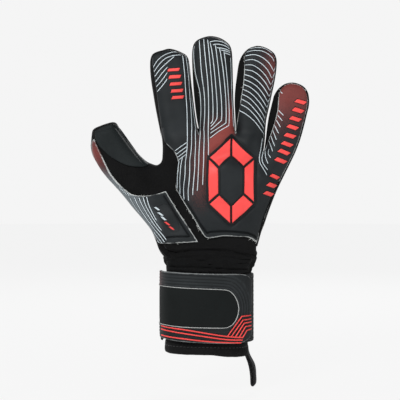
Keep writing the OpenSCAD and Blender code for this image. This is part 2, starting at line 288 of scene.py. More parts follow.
# ------------------------------------------------------------------ materials
def nodes_of(name):
    mat = bpy.data.materials.new(name)
    mat.use_nodes = True
    nt = mat.node_tree
    nt.nodes.clear()
    out = nt.nodes.new("ShaderNodeOutputMaterial")
    bs = nt.nodes.new("ShaderNodeBsdfPrincipled")
    nt.links.new(bs.outputs[0], out.inputs[0])
    return mat, nt, bs


class G:
    """Small helper that writes a node graph."""

    def __init__(self, name):
        self.mat, self.nt, self.bs = nodes_of(name)
        self.co = self.attr("rco", True)

    def new(self, kind, **kw):
        n = self.nt.nodes.new(kind)
        for k, v in kw.items():
            setattr(n, k, v)
        return n

    def put(self, sock, val):
        if hasattr(val, "links"):
            self.nt.links.new(val, sock)
        else:
            sock.default_value = val

    def attr(self, name, vec=False):
        n = self.new("ShaderNodeAttribute", attribute_name=name)
        return n.outputs["Vector" if vec else "Fac"]

    def math(self, op, a, b=0.0, c=0.0, clamp=False):
        n = self.new("ShaderNodeMath", operation=op, use_clamp=clamp)
        self.put(n.inputs[0], a)
        self.put(n.inputs[1], b)
        self.put(n.inputs[2], c)
        return n.outputs[0]

    def scaled(self, s):
        n = self.new("ShaderNodeVectorMath", operation="MULTIPLY")
        self.put(n.inputs[0], self.co)
        n.inputs[1].default_value = s if hasattr(s, "__len__") else (s, s, s)
        return n.outputs[0]

    def noise(self, scale, detail=3.0, rough=0.55, stretch=None):
        n = self.new("ShaderNodeTexNoise")
        self.put(n.inputs["Vector"], self.scaled(stretch) if stretch else self.co)
        n.inputs["Scale"].default_value = scale
        n.inputs["Detail"].default_value = detail
        n.inputs["Roughness"].default_value = rough
        return n.outputs["Fac"]

    def cells(self, scale, stretch=None, feature="F1"):
        n = self.new("ShaderNodeTexVoronoi", feature=feature)
        self.put(n.inputs["Vector"], self.scaled(stretch) if stretch else self.co)
        n.inputs["Scale"].default_value = scale
        return n.outputs["Distance"]

    def wave(self, scale, direction="X", dist=0.0, stretch=None):
        n = self.new("ShaderNodeTexWave", bands_direction=direction)
        self.put(n.inputs["Vector"], self.scaled(stretch) if stretch else self.co)
        n.inputs["Scale"].default_value = scale
        n.inputs["Distortion"].default_value = dist
        n.inputs["Detail Scale"].default_value = 2.0
        return n.outputs["Fac"]

    def ramp(self, v, a, b):
        """0 below a, 1 above b."""
        n = self.new("ShaderNodeMapRange", interpolation_type="SMOOTHSTEP")
        self.put(n.inputs["Value"], v)
        n.inputs["From Min"].default_value = a
        n.inputs["From Max"].default_value = b
        return n.outputs[0]

    def mix(self, f, a, b):
        n = self.new("ShaderNodeMix", data_type="RGBA")
        self.put(n.inputs[0], f)
        for sock, v in ((n.inputs[6], a), (n.inputs[7], b)):
            if hasattr(v, "links"):
                self.nt.links.new(v, sock)
            else:
                sock.default_value = (*v, 1.0)
        return n.outputs[2]

    def bump(self, h, dist=0.0003, strength=1.0, under=None):
        n = self.new("ShaderNodeBump")
        n.inputs["Strength"].default_value = strength
        n.inputs["Distance"].default_value = dist
        self.put(n.inputs["Height"], h)
        if under is not None:
            self.put(n.inputs["Normal"], under)
        return n.outputs[0]

    def end(self, color, rough, normal=None, sheen=0.0, spec=0.5, sheen_rough=0.5):
        b = self.bs
        if hasattr(color, "links"):
            self.nt.links.new(color, b.inputs["Base Color"])
        else:
            b.inputs["Base Color"].default_value = (*color, 1.0)
        self.put(b.inputs["Roughness"], rough)
        if normal is not None:
            self.put(b.inputs["Normal"], normal)
        b.inputs["Sheen Weight"].default_value = sheen
        b.inputs["Sheen Roughness"].default_value = sheen_rough
        b.inputs["Specular IOR Level"].default_value = spec
        return self.mat


def mat_foam(name, dark=(0.0074, 0.0096, 0.0110), light=(0.0150, 0.0181, 0.0200), pale=(0.46, 0.48, 0.47)):
    """Embossed foamed rubber: fine skin grain, a frayed pale cut edge, dull red and pale print where asked for; the
    pale print colour also serves as a painted highlight on ridges.
    """
    g = G(name)
    big = g.noise(38, 3)
    fine = g.noise(900, 2)
    col = g.mix(g.ramp(big, 0.3, 0.72), dark, light)
    red = g.attr("red")
    dots = g.cells(1900)
    # the red print breaks up into dots where it fades
    m = g.math("SUBTRACT", red, g.math("MULTIPLY", dots, 0.75))
    m = g.ramp(m, -0.22, 0.30)
    redc = g.mix(g.ramp(red, 0.45, 1.0), (0.105, 0.031, 0.029), (0.235, 0.047, 0.040))
    redc = g.mix(g.math("MULTIPLY", g.ramp(dots, 0.50, 0.12), 0.45), redc, (0.055, 0.014, 0.014))
    col = g.mix(g.math("MULTIPLY", m, g.ramp(red, 0.02, 0.25)), col, redc)
    # the pale print colour where a sheet asks for it: faded pale print on the thumb strip, and painted highlight along
    # the ridges of the strap flap
    fade = g.attr("fade")
    col = g.mix(g.math("MULTIPLY", fade, g.ramp(g.noise(1500, 2), 0.0, 0.6)), col, (0.33, 0.38, 0.41))
    edge = g.math("ADD", g.attr("edge"), g.math("MULTIPLY", g.math("SUBTRACT", g.noise(420, 4, 0.7), 0.5), 1.5))
    rim = g.ramp(edge, 0.95, 0.30)
    frayed = g.math("MULTIPLY", rim, g.ramp(g.noise(70, 3, 0.6), 0.34, 0.50))
    col = g.mix(frayed, col, pale)
    h = g.math("ADD", g.math("MULTIPLY", fine, 0.5), g.math("MULTIPLY", g.cells(1500), 0.5))
    nrm = g.bump(h, 0.00018, 0.55)
    rough = g.math("ADD", 0.50, g.math("MULTIPLY", big, 0.22))
    return g.end(col, rough, nrm, sheen=0.0, spec=0.20)


def mat_print(name, color, wear=0.35, under=(0.04, 0.045, 0.05), rough=0.5):
    g = G(name)
    n = g.noise(330, 4, 0.7)
    col = g.mix(g.math("MULTIPLY", g.ramp(n, 0.56, 0.74), wear), color, under)
    tone = g.mix(g.ramp(g.noise(60, 2), 0.3, 0.7), tuple(c * 0.82 for c in color), color)
    col = g.mix(g.math("MULTIPLY", g.ramp(n, 0.56, 0.74), wear), tone, under)
    return g.end(col, g.math("ADD", rough - 0.08, g.math("MULTIPLY", n, 0.2)), g.bump(g.noise(1200, 2), 0.0001, 0.5), spec=0.22)


def mat_fabric(name, color=(0.0036, 0.0036, 0.0037), scale=1150, sheen=0.05, rough=0.86, dist=0.00028, tint=1.9):
    """Knitted or mesh cloth: rows of small stitches with a soft nap."""
    g = G(name)
    c1 = g.cells(scale, (1.0, 1.0, 0.72))
    c2 = g.noise(scale * 0.35, 3)
    big = g.noise(45, 3)
    lite = tuple(c * tint for c in color)
    col = g.mix(g.math("MULTIPLY", g.ramp(c1, 0.15, 0.6), g.ramp(big, 0.2, 0.8)), lite, color)
    h = g.math("SUBTRACT", g.math("MULTIPLY", c2, 0.35), g.math("MULTIPLY", c1, 0.8))
    soft = g.bump(big, 0.0012, 0.35)
    return g.end(col, g.math("ADD", rough - 0.07, g.math("MULTIPLY", c2, 0.14)), g.bump(h, dist, 0.7, soft), sheen=sheen * 0.5, spec=0.07)


def mat_latex(name, dark=(0.0085, 0.0108, 0.0115), light=(0.0160, 0.0190, 0.0200), pale=(0.15, 0.155, 0.15)):
    """Foamed latex: matt, tacky, full of pin-prick pores, a little scuffed."""
    g = G(name)
    pores = g.cells(1300)
    big = g.noise(30, 4, 0.6)
    scuff = g.ramp(g.noise(140, 5, 0.7), 0.60, 0.76)
    col = g.mix(g.ramp(big, 0.3, 0.7), dark, light)
    col = g.mix(g.math("MULTIPLY", scuff, 0.28), col, tuple(c * 2.1 for c in light))
    col = g.mix(g.ramp(pores, 0.22, 0.08), col, tuple(c * 0.35 for c in dark))
    edge = g.math("ADD", g.attr("edge"), g.math("MULTIPLY", g.math("SUBTRACT", g.noise(420, 4, 0.7), 0.5), 0.8))
    col = g.mix(g.math("MULTIPLY", g.ramp(edge, 0.5, 0.1), 0.8), col, pale)
    h = g.math("ADD", g.math("MULTIPLY", g.ramp(pores, 0.0, 0.3), 0.7), g.math("MULTIPLY", g.noise(420, 3), 0.4))
    soft = g.bump(g.noise(70, 2), 0.0010, 0.4)
    return g.end(col, g.math("ADD", 0.62, g.math("MULTIPLY", big, 0.2)), g.bump(h, 0.00022, 0.7, soft), spec=0.14)


def mat_elastic(name):
    """Ribbed woven elastic: ribs run along the strap."""
    g = G(name)
    ribs = g.wave(210, "Z", 0.4)
    weave = g.cells(900, (1, 1, 2.2))
    col = g.mix(ribs, (0.008, 0.0085, 0.0088), (0.025, 0.0265, 0.0275))
    h = g.math("ADD", ribs, g.math("MULTIPLY", weave, 0.35))
    return g.end(col, 0.8, g.bump(h, 0.00035, 0.8), sheen=0.04, spec=0.14)


def mat_webbing(name):
    g = G(name)
    tw = g.wave(420, "DIAGONAL", 0.6)
    th = g.wave(640, "Z", 0.2)
    col = g.mix(tw, (0.006, 0.006, 0.0065), (0.020, 0.020, 0.022))
    return g.end(col, 0.78, g.bump(g.math("ADD", tw, th), 0.0003, 0.8), sheen=0.04, spec=0.14)


def mat_hooks(name, color=(0.012, 0.012, 0.013)):
    g = G(name)
    c = g.cells(820)
    col = g.mix(g.ramp(c, 0.1, 0.5), tuple(k * 2.6 for k in color), color)
    return g.end(col, 0.9, g.bump(g.ramp(c, 0.0, 0.45), -0.0008, 1.0), sheen=0.08, spec=0.14)


def mat_thread(name, color):
    g = G(name)
    tw = g.wave(1500, "DIAGONAL", 0.5)
    col = g.mix(tw, tuple(c * 0.7 for c in color), color)
    return g.end(col, 0.7, g.bump(tw, 0.0001, 0.6), sheen=0.2)


FOAM = mat_foam("backhand_foam")
FOAM_STRAP = mat_foam("strap_rubber", (0.0070, 0.0090, 0.0100), (0.0128, 0.0152, 0.0165), (0.20, 0.21, 0.21))
WHITE = mat_print("pale_print", (0.64, 0.72, 0.76), 0.40)
RED = mat_print("red_print", (0.86, 0.075, 0.068), 0.22, (0.30, 0.03, 0.025))
RED_BADGE = mat_print("badge_red_rubber", (0.93, 0.080, 0.074), 0.05, (0.6, 0.05, 0.045), 0.42)
PALE_LINE = mat_print("pale_piping", (0.44, 0.45, 0.44), 0.2, (0.12, 0.125, 0.13))
GUSSET = mat_fabric("gusset_mesh")
KNIT = mat_fabric("wrist_knit", (0.0040, 0.0041, 0.0042), 800, 0.06, 0.9, 0.0004, 1.7)
BINDING = mat_fabric("cuff_binding", (0.0050, 0.0050, 0.0051), 620, 0.05, 0.8, 0.0004, 1.7)
LATEX = mat_latex("palm_latex")
WRAP = mat_latex("thumb_wrap_latex", (0.0085, 0.0112, 0.0118), (0.0145, 0.0178, 0.0185))
SMOOTH = mat_latex("strap_inset_rubber", (0.0048, 0.0064, 0.0064), (0.0070, 0.0088, 0.0088), (0.03, 0.03, 0.03))
ELASTIC = mat_elastic("strap_elastic")
WEBBING = mat_webbing("loop_webbing")
HOOKS = mat_hooks("hook_tape")
LOOPS = mat_hooks("loop_tape", (0.009, 0.009, 0.010))
THREAD = mat_thread("dark_thread", (0.030, 0.032, 0.034))
HEM_THREAD = mat_thread("hem_thread", (0.011, 0.011, 0.012))
# A darker copy of the foam. It is painted shade in grooves, creases and beside the raised lines; it is also the dark
# fibres at the index and middle fingertips and a dark rim round the raised bars and the badge.
DARK_FOAM_AND_SHADE = mat_foam("dark_foam_and_painted_shade", (0.0030, 0.0040, 0.0048), (0.0075, 0.0092, 0.0102))
FRAY = mat_thread("frayed_backing", (0.50, 0.51, 0.49))

# ------------------------------------------------------------------ the hand's outline, seen from the back
SEP = [mm("-8.0,199.0 -9.9,208.2 -11.7,221.8 -13.1,236.6 -13.8,249.0 -14.8,259.5 -15.6,271.2 -16.2,310.7"),
       mm("24.6,194.6 24.1,209.4 23.5,221.8 23.6,232.9 24.6,245.3 25.8,257.0 27.0,266.2 28.5,310.7"),
       mm("49.5,178.3 50.2,188.5 51.5,199.6 52.7,207.0 54.4,216.9 56.4,224.3 57.9,230.4 61.0,236.6 64.1,245.3 71.5,298.3")]
OUT_LEFT = mm("-44.9,99.6 -48.9,109.1 -55.9,118.5 -65.4,129.5 -74.0,140.5 -81.9,149.1 -88.9,157.0 -95.2,165.6 -100.7,175.1 -102.6,182.9 -102.3,187.6 -101.8,193.6")
OUT_THUMB = mm("-100.6,198.2 -95.2,201.3 -84.2,204.8 -80.3,204.1 -77.3,199.1 -69.5,188.1 -61.6,177.9 -53.9,170.7 -48.2,168.0 -44.2,167.2")
OUT_INDEX = np.concatenate([mm("-40.5,170.3 -39.6,176.6 -39.6,186.1 -41.2,198.6"), mm("-40.4,190.9 -42.2,199.6 -44.2,209.4 -46.3,220.6 -47.9,230.4 -49.3,239.1 -50.3,247.7 -50.6,256.4 -50.0,261.3 -48.3,264.8 -44.6,266.9 -39.6,268.3 -34.1,269.7 -28.5,268.7 -23.0,266.5 -18.7,264.0 -16.8,260.7 -15.6,253.9 -14.6,244.0 -13.6,234.1 -12.1,221.8 -10.3,208.2 -8.5,199.6")])
OUT_MIDDLE = mm("-7.8,199.2 -9.5,208.2 -11.2,221.8 -12.5,236.6 -13.2,249.0 -13.6,261.3 -13.3,268.7 -12.2,273.4 -9.4,276.9 -5.1,279.1 1.1,280.7 7.3,280.3 12.2,278.6 16.9,275.6 19.9,272.2 21.5,266.9 22.1,256.4 22.5,236.6 23.0,221.8 23.7,209.4 24.4,196.9")
OUT_RING = mm("24.8,196.9 24.4,209.4 23.9,221.8 24.2,231.7 25.8,245.3 27.6,257.0 29.7,262.5 32.2,266.2 35.4,269.3 39.4,271.2 44.3,272.2 50.5,270.9 55.4,268.3 59.1,265.0 60.9,259.8 60.9,253.9 59.9,245.3 58.3,236.6 56.9,230.4 55.6,224.3 54.2,218.1 52.8,211.9 51.6,205.7 50.9,197.1 50.4,188.5 49.3,179.6")
OUT_LITTLE = mm("49.8,179.6 51.1,188.5 52.1,197.1 53.1,204.5 54.3,211.3 55.8,217.5 57.2,223.0 58.5,228.0 60.4,231.7 62.8,234.8 65.6,237.2 69.0,239.0 74.6,239.9 80.1,238.8 85.1,236.0 88.2,231.7 89.5,225.5 89.3,219.3 87.5,211.9 85.1,202.0 81.6,189.7 77.4,178.6 72.1,167.5 65.6,154.5 61.0,145.2 56.9,135.4 53.2,125.5 49.8,115.6 47.0,108.2 44.9,100.8 43.5,95.8")
OUT_WRIST = mm("42.7,95.9 42.6,92.8 43.4,90.5 43.1,88.4 41.6,86.4 28.6,85.7 12.8,85.4 -6.6,85.5 -24.2,86.2 -36.5,86.6 -39.2,88.1 -42.7,93.5")
SIL = np.concatenate([OUT_LEFT, OUT_THUMB, OUT_INDEX, OUT_MIDDLE, OUT_RING, OUT_LITTLE, OUT_WRIST])
SIL = VIEW_C + (curve(SIL, 1.5, True, 70) - VIEW_C) * 1.006
BOTTOM_Z = OUT_WRIST[:, 1].max() - 7.5
open_edge = (SIL[:, 1] < 86.2) & (np.roll(SIL, -1, 0)[:, 1] < 86.2)
KEEP = ~open_edge

# x, z, depth of the back, depth of the palm side, roundness of each, middle plane
CTRL = np.array([
    # fingers
    [-26, 205, 11.6, 12.2, 13, 11, 5.5], [-30, 232, 11.2, 12.0, 13, 11, 6], [-34, 262, 9.4, 10.6, 13, 11, 6.5],
    [7, 208, 11.8, 12.2, 13, 11, 5.5], [5, 238, 11.4, 12.0, 13, 11, 6], [3, 272, 9.4, 10.6, 13, 11, 6.5],
    [37, 205, 11.6, 12.2, 13, 11, 5.5], [41, 232, 11.2, 12.0, 13, 11, 6], [45, 264, 9.4, 10.6, 13, 11, 6.5],
    [65, 190, 11.2, 12.0, 13, 11, 5.5], [70, 210, 10.8, 11.6, 12.5, 11, 6], [75, 230, 9.0, 10.4, 12, 11, 6.5],
    # hand
    [-22, 180, 13.0, 13.4, 17, 13, 4.5], [8, 182, 14.6, 13.8, 19, 14, 4.2], [34, 178, 14.2, 13.8, 19, 14, 4.2], [58, 168, 12.8, 13.0, 16, 13, 4.8],
    [-12, 158, 17.6, 15.6, 23, 15, 2.6], [18, 156, 19.4, 16.0, 26, 15, 2.0], [44, 148, 16.8, 15.4, 22, 15, 2.6],
    [-8, 130, 18.4, 17.0, 24, 16, 1.6], [20, 126, 18.6, 17.2, 25, 16, 1.2], [42, 122, 16.4, 16.0, 21, 15, 1.6],
    [0, 106, 17.2, 18.2, 23, 17, 0.6], [26, 104, 17.2, 18.2, 23, 17, 0.6],
    # thumb, its root and the web
    [-90, 190, 10.6, 11.4, 12, 11, 5.2], [-80, 172, 12.0, 12.6, 13, 12, 5.2], [-66, 150, 13.2, 13.4, 15, 13, 4.8], [-52, 130, 14.8, 14.8, 17, 14, 3.8], [-38, 112, 15.8, 16.6, 19, 15, 2.2],
    [-44, 158, 8.6, 10.4, 12, 12, 5.0], [-34, 148, 12.0, 12.6, 15, 13, 4.2],
    # wrist
    [-26, 92, 18.4, 19.2, 26, 20, 0.2], [0, 90, 20.0, 20.6, 30, 21, 0], [28, 92, 18.4, 19.2, 26, 20, 0.2]])


def fields(P):
    d2 = ((P[:, None] - CTRL[None, :, :2]) ** 2).sum(2) + 36.0
    w = d2**-2.2
    w /= w.sum(1, keepdims=True)
    return w @ CTRL[:, 2:]


def core_y(P, side, d=None):
    P = np.asarray(P, float)
    if d is None:
        d = seg_dist(P, SIL, True, KEEP)
    f = fields(P)
    if side < 0:
        return f[:, 4] - f[:, 0] * prof(d / f[:, 2], 2.25)
    return f[:, 4] + f[:, 1] * prof(d / f[:, 3], 2.5)


def seen(P, lift=2.0, side=-1):
    """Moves points of a view-plane drawing onto the surface they're seen on."""
    P = np.asarray(P, float)
    y = core_y(P, side) + side * lift
    return VIEW_C + (P - VIEW_C) * (1 + y / VIEW_D)[:, None]


def skin(P, side):
    """Point and outward normal of the glove's core at x, z."""
    e = 0.25
    ox, oz = np.array([e, 0]), np.array([0, e])
    y = core_y(P, side)
    dx = (core_y(P + ox, side) - core_y(P - ox, side)) / (2 * e)
    dz = (core_y(P + oz, side) - core_y(P - oz, side)) / (2 * e)
    n = np.stack([-dx, np.ones(len(P)), -dz], 1) * (1 if side > 0 else -1)
    # near the outline the skin turns sideways, and the layer above must not run into its neighbour
    n[:, [0, 2]] *= 0.55
    return np.stack([P[:, 0], y, P[:, 1]], 1), unit(n)


# ------------------------------------------------------------------ which body a place belongs to
START = [((-46, 190.3), (-5.7, 198.0)), ((-5.7, 198.0), (23.3, 195.6)), ((23.3, 195.6), (49.5, 185.5)), ((48.8, 175.2), (76, 165.6))]
NAMES = ["index", "middle", "ring", "little"]


def finger_of(P):
    f = np.zeros(len(P), int)
    for k, s in enumerate(SEP):
        o = np.argsort(s[:, 1])
        f += P[:, 0] > np.interp(P[:, 1], s[o, 1], s[o, 0])
    return f


def line_n(k):
    a, b = np.array(START[k][0]), np.array(START[k][1])
    t = unit(b - a)
    return a, np.array([-t[1], t[0]])


def axis_of(k):
    a = JOINT[NAMES[k] + "_knuckle"][[0, 2]]
    b = JOINT[NAMES[k] + "_middle_joint"][[0, 2]]
    return a, b, unit(b - a)


TH0, TH1 = np.array([-38.0, 140.0]), np.array([-60.0, 146.4])
TT_D = unit([-0.85, 0.53])
TT_A = TH1 @ TT_D + 5.2


def parts(P):
    """0 hand; 1 + 2k lower finger k; 2 + 2k finger k's end; 9 lower thumb; 10 thumb's end."""
    P = np.asarray(P, float)
    out = np.zeros(len(P), int)
    f = finger_of(P)
    for k in range(4):
        a, n = line_n(k)
        up = ((P - a) @ n > 0) & (f == k) & (P[:, 0] > -60)
        j0, j1, ax = axis_of(k)
        end = up & ((P - j1) @ ax > -11.6 if k < 3 else (P - j1) @ ax > -9.2)
        out[up] = 1 + 2 * k
        out[end] = 2 + 2 * k
    d = unit(TH1 - TH0)
    th = ((P - TH0) @ d > 0) & (f == 0) & (out == 0) & (P[:, 1] < 210) & (P[:, 0] < -36)
    web = (P[:, 0] > -46.5) & (P[:, 1] > 165)
    th &= ~web
    out[th] = 9
    out[th & (P @ TT_D > TT_A)] = 10
    return out


PART_NAME = ["hand"] + [f"{n}_{w}" for n in NAMES for w in ("lower", "end")] + ["thumb_lower", "thumb_end"]


def attach(o, part):
    """Ties a hand piece to the hand body; every other piece is only baked in place."""
    if part == 0:
        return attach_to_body(o, "hand")
    if part < 9:
        k, end = (part - 1) // 2, part % 2 == 0
        j0, j1, ax = axis_of(k)
        if end:
            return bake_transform(o)
        a, n = line_n(k)
        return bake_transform(o)
    if part == 9:
        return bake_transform(o)
    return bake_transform(o)


def spread(base, m, mats, replaced=None):
    """Splits a mesh over the bodies and passes each share to attach, which ties only the hand's share to a body.
    Returns the pieces by part.
    """
    c = m.V[m.F].mean(1)[:, [0, 2]]
    ids = parts(c)
    out = {}
    for p in np.unique(ids):
        s = pick(m, ids == p)
        o = build(f"{base}_{PART_NAME[p]}", s, mats)
        attach(o, int(p))
        if replaced and PART_NAME[p] in replaced:
            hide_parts(*replaced[PART_NAME[p]])
        out[PART_NAME[p]] = o
    return out


# ------------------------------------------------------------------ the fabric core of the glove
CREASES = [(curve(mm("-40,96.5 -36,92.6 -28,90.4 -14.6,92.6 5.6,93.2 19.1,91.6 31,88.8 41,87.4"), 0.9), 2.5, 1.3),
           (curve(mm("-36,97.5 -22,96.6 -4,98.0 14,97.6 26,95.4 36,93.6"), 0.9), 0.7, 1.3),
           (curve(mm("-64.5,143.5 -57,139.6 -48,138.6 -42,140.5"), 0.9), 0.7, 1.5),
           (curve(mm("-61,150.8 -54,146.5 -46,146.2 -40,149"), 0.9), 0.6, 1.5),
           (curve(mm("-66,152.5 -63,147.0 -58.5,141.8"), 0.9), 0.5, 1.4)]


def crease_points():
    out = []
    for L, a, w in CREASES:
        t = unit(np.gradient(L, axis=0))
        nn = np.stack([-t[:, 1], t[:, 0]], 1)
        out += [L + nn * o * w for o in (-3.2, -2.1, -1.0, 0, 1.0, 2.1, 3.2)]
    return out


def core():
    V2, T, _ = triangulate(SIL, [0.07, 0.28, 0.65, 1.2, 1.9, 2.8, 3.9, 5.2], 2.1, crease_points())
    d = seg_dist(V2, SIL, True, KEEP)
    d[d < 1e-4] = 0
    n = len(V2)
    front = np.stack([V2[:, 0], core_y(V2, -1, d), V2[:, 1]], 1)
    back = np.stack([V2[:, 0], core_y(V2, 1, d), V2[:, 1]], 1)
    shared = d == 0
    idx = np.where(shared, np.arange(n), n + np.arange(n))
    F = np.concatenate([T, idx[T][:, ::-1]])
    V = np.concatenate([front, back])
    m = M(V, F)
    # soft folds, strongest in the web and at the wrist
    f = fields(V[:, [0, 2]])
    dd = np.concatenate([d, d])
    amp = 0.55 + 1.0 * np.exp(-((V[:, 0] + 44) ** 2 + (V[:, 2] - 150) ** 2) / 500) + 0.7 * smooth(108, 92, V[:, 2])
    h = np.array([noise.fractal(Vector((v[0] * 0.055, v[1] * 0.05, v[2] * 0.075)), 1.0, 2.0, 3) for v in V])
    hh = h * amp
    for L, a, w in CREASES:
        q = seg_dist(V[:, [0, 2]], L) / w
        o = np.argsort(L[:, 0])
        below = V[:, 2] < np.interp(V[:, 0], L[o, 0], L[o, 1])
        hh = hh - a * np.exp(-q * q) + 0.65 * a * np.exp(-((q - 2.1) / 1.2) ** 2) * below
    m.V = m.V + m.N * (hh * smooth(0, 4, dd))[:, None]
    m.N = normals(m.V, m.F)
    # the points of the lower edge are picked out, but nothing is done with them
    rim = []
    low = (V2[:, 1] < 86.0) & (seg_dist(V2, SIL, True) < 1e-4)
    return m


core_m = core()
GUSS = {n + "_" + w: ([n + "_inner_gusset", n + "_outer_gusset"] if w == "lower" else [n + "_gusset_tip"]) for n in NAMES for w in ("lower", "end")}
GUSS["hand"] = ["outer_side_gusset", "thumb_web_gusset", "index_middle_crotch", "middle_ring_crotch", "ring_little_crotch", "backhand_lining", "palm_lining"]
GUSS["thumb_lower"] = ["thumb_gusset_back", "thumb_gusset_front"]
GUSS["thumb_end"] = ["thumb_gusset_tip"]
spread("fabric", core_m, [GUSSET], GUSS)


# ------------------------------------------------------------------ padded sheets and printed lines
def near_line(P, line):
    return seg_dist(P, line)


def sheet(outline, side, thick, step=1.7, rows=(0.35, 0.85, 1.5, 2.4), emboss=None, extra=(), bevel=0.9, sink=0.35, red=None, fade=None, mi=(0, 0), thin_edge=True, mat_wall=0, calm=None):
    """A foam sheet laid on the core: an outer face, a rounded rim and a cut wall."""
    V2, T, e = triangulate(outline, list(rows), step, extra)
    pos, n = skin(V2, side)
    d = seg_dist(V2, SIL, True, KEEP)
    t = thick * (0.30 + 0.70 * smooth(0.4, 5.0, d)) if thin_edge else np.full(len(V2), thick)
    top = t - bevel * (1 - np.sqrt(np.clip(1 - (1 - np.clip(e / bevel, 0, 1)) ** 2, 0, 1))) * (t / thick)
    if emboss is not None:
        top = top + emboss(V2, e)
    Vt = pos + n * top[:, None]
    F = T if side < 0 else T[:, ::-1]
    quiet = calm(V2) if calm else np.zeros(len(V2))
    A = {"edge": e + quiet}
    A["red"] = red(V2) if red else np.zeros(len(V2))
    A["fade"] = fade(V2) if fade else np.zeros(len(V2))
    face = M(Vt, F, mi[0], A)
    # wall: the outline's own edges
    edges = {}
    for f in T:
        for i in range(3):
            a, b = int(f[i]), int(f[(i + 1) % 3])
            edges[(a, b)] = 1
    bd = [(a, b) for (a, b) in edges if (b, a) not in edges]
    ids = sorted({i for ab in bd for i in ab})
    loc = {v: i for i, v in enumerate(ids)}
    ii = np.array(ids)
    hi = Vt[ii]
    lo = pos[ii] - n[ii] * sink
    k = len(ii)
    W = np.concatenate([hi, lo])
    WF = []
    for a, b in bd:
        a0, b0 = loc[a], loc[b]
        q = (b0, a0, a0 + k, b0 + k) if side < 0 else (a0, b0, b0 + k, a0 + k)
        WF += [(q[0], q[1], q[2]), (q[0], q[2], q[3])]
    wall = M(W, WF, mat_wall, {"edge": np.concatenate([np.zeros(k), np.full(k, 0.05)]) + np.tile(quiet[ii], 2), "red": np.tile(A["red"][ii], 2), "fade": np.zeros(2 * k)})
    return join(face, wall)


def ribbon(line, lift_fn, width=0.95, height=0.30, mi=1, step=1.0, taper=True, smooth_it=True, sharp=40, closed=False, clip=None, clear=0.0):
    """A raised printed line that follows a surface. lift_fn gives a point and a normal on the surface."""
    L = curve(line, step, closed, sharp) if smooth_it else line
    if clip is not None:
        ok = inside(L, clip)
        if clear > 0:
            ok &= seg_dist(L, SIL, True, KEEP) > clear
        runs, cur = [], []
        for i, k in enumerate(ok):
            if k:
                cur.append(i)
            elif cur:
                runs.append(cur)
                cur = []
        if cur:
            runs.append(cur)
        ms = [ribbon(L[r], lift_fn, width, height, mi, step, taper, False) for r in runs if len(r) >= 3]
        return join(*ms) if ms else None
    n = len(L)
    if closed:
        t = unit(np.roll(L, -1, 0) - np.roll(L, 1, 0))
    else:
        t = unit(np.gradient(L, axis=0))
    s = np.stack([-t[:, 1], t[:, 0]], 1)
    w = np.full(n, width / 2)
    if taper and not closed:
        w[0] *= 0.55
        w[-1] *= 0.55
    cols = [(-1.0, -0.15), (-0.72, 0.8), (0.0, 1.0), (0.72, 0.8), (1.0, -0.15)]
    P = np.concatenate([L + s * (w * c)[:, None] for c, _ in cols])
    pos, nrm = lift_fn(P)
    H = np.concatenate([np.full(n, height * h) for _, h in cols])
    if taper and not closed:
        H = H.reshape(5, n)
        H[:, 0] = -0.05
        H[:, -1] = -0.05
        H = H.ravel()
    # as wide on a steep side as on the flat
    p5, n5 = pos.reshape(5, n, 3), nrm.reshape(5, n, 3)
    gap = p5[4] - p5[0]
    far = np.linalg.norm(gap, axis=1)
    side = gap / np.maximum(far, 1e-6)[:, None]
    k = np.clip(2 * w / np.maximum(far, 1e-6), 0, 1)[:, None]
    steep = smooth(0.93, 0.80, k)
    flat = np.stack([p5[2] + side * (w * c)[:, None] for c, _ in cols])
    p5 = p5 * (1 - steep) + flat * steep
    n5 = n5 * (1 - steep) + n5[2] * steep
    pos, nrm = p5.reshape(-1, 3), n5.reshape(-1, 3)
    V = pos + nrm * H[:, None]
    F = []
    m = n if closed else n - 1
    for c in range(4):
        for i in range(m):
            a, b = c * n + i, c * n + (i + 1) % n
            F += [(a, b, b + n), (a, b + n, a + n)]
    F = np.array(F)
    c = np.cross(V[F[0, 1]] - V[F[0, 0]], V[F[0, 2]] - V[F[0, 0]])
    mid = len(F) // 2
    c = sum(np.cross(V[F[i, 1]] - V[F[i, 0]], V[F[i, 2]] - V[F[i, 0]]) @ nrm[F[i, 0]] for i in range(0, len(F), 7))
    if c < 0:
        F = F[:, ::-1]
    return M(V, F, mi)


def chip(poly, lift_fn, height=0.45, mi=1, step=1.3, bevel=0.45, rows=(0.25, 0.6), flip=False):
    """A small raised flat shape, such as a printed bar."""
    V2, T, e = triangulate(poly, list(rows), step)
    pos, n = lift_fn(V2)
    top = height * np.sqrt(np.clip(1 - (1 - np.clip(e / bevel, 0, 1)) ** 2, 0, 1)) - 0.12 * (e < 1e-4)
    V = pos + n * top[:, None]
    c = np.cross(V[T[:, 1]] - V[T[:, 0]], V[T[:, 2]] - V[T[:, 0]])
    if (c * n[T[:, 0]]).sum() < 0:
        T = T[:, ::-1]
    return M(V, T, mi)


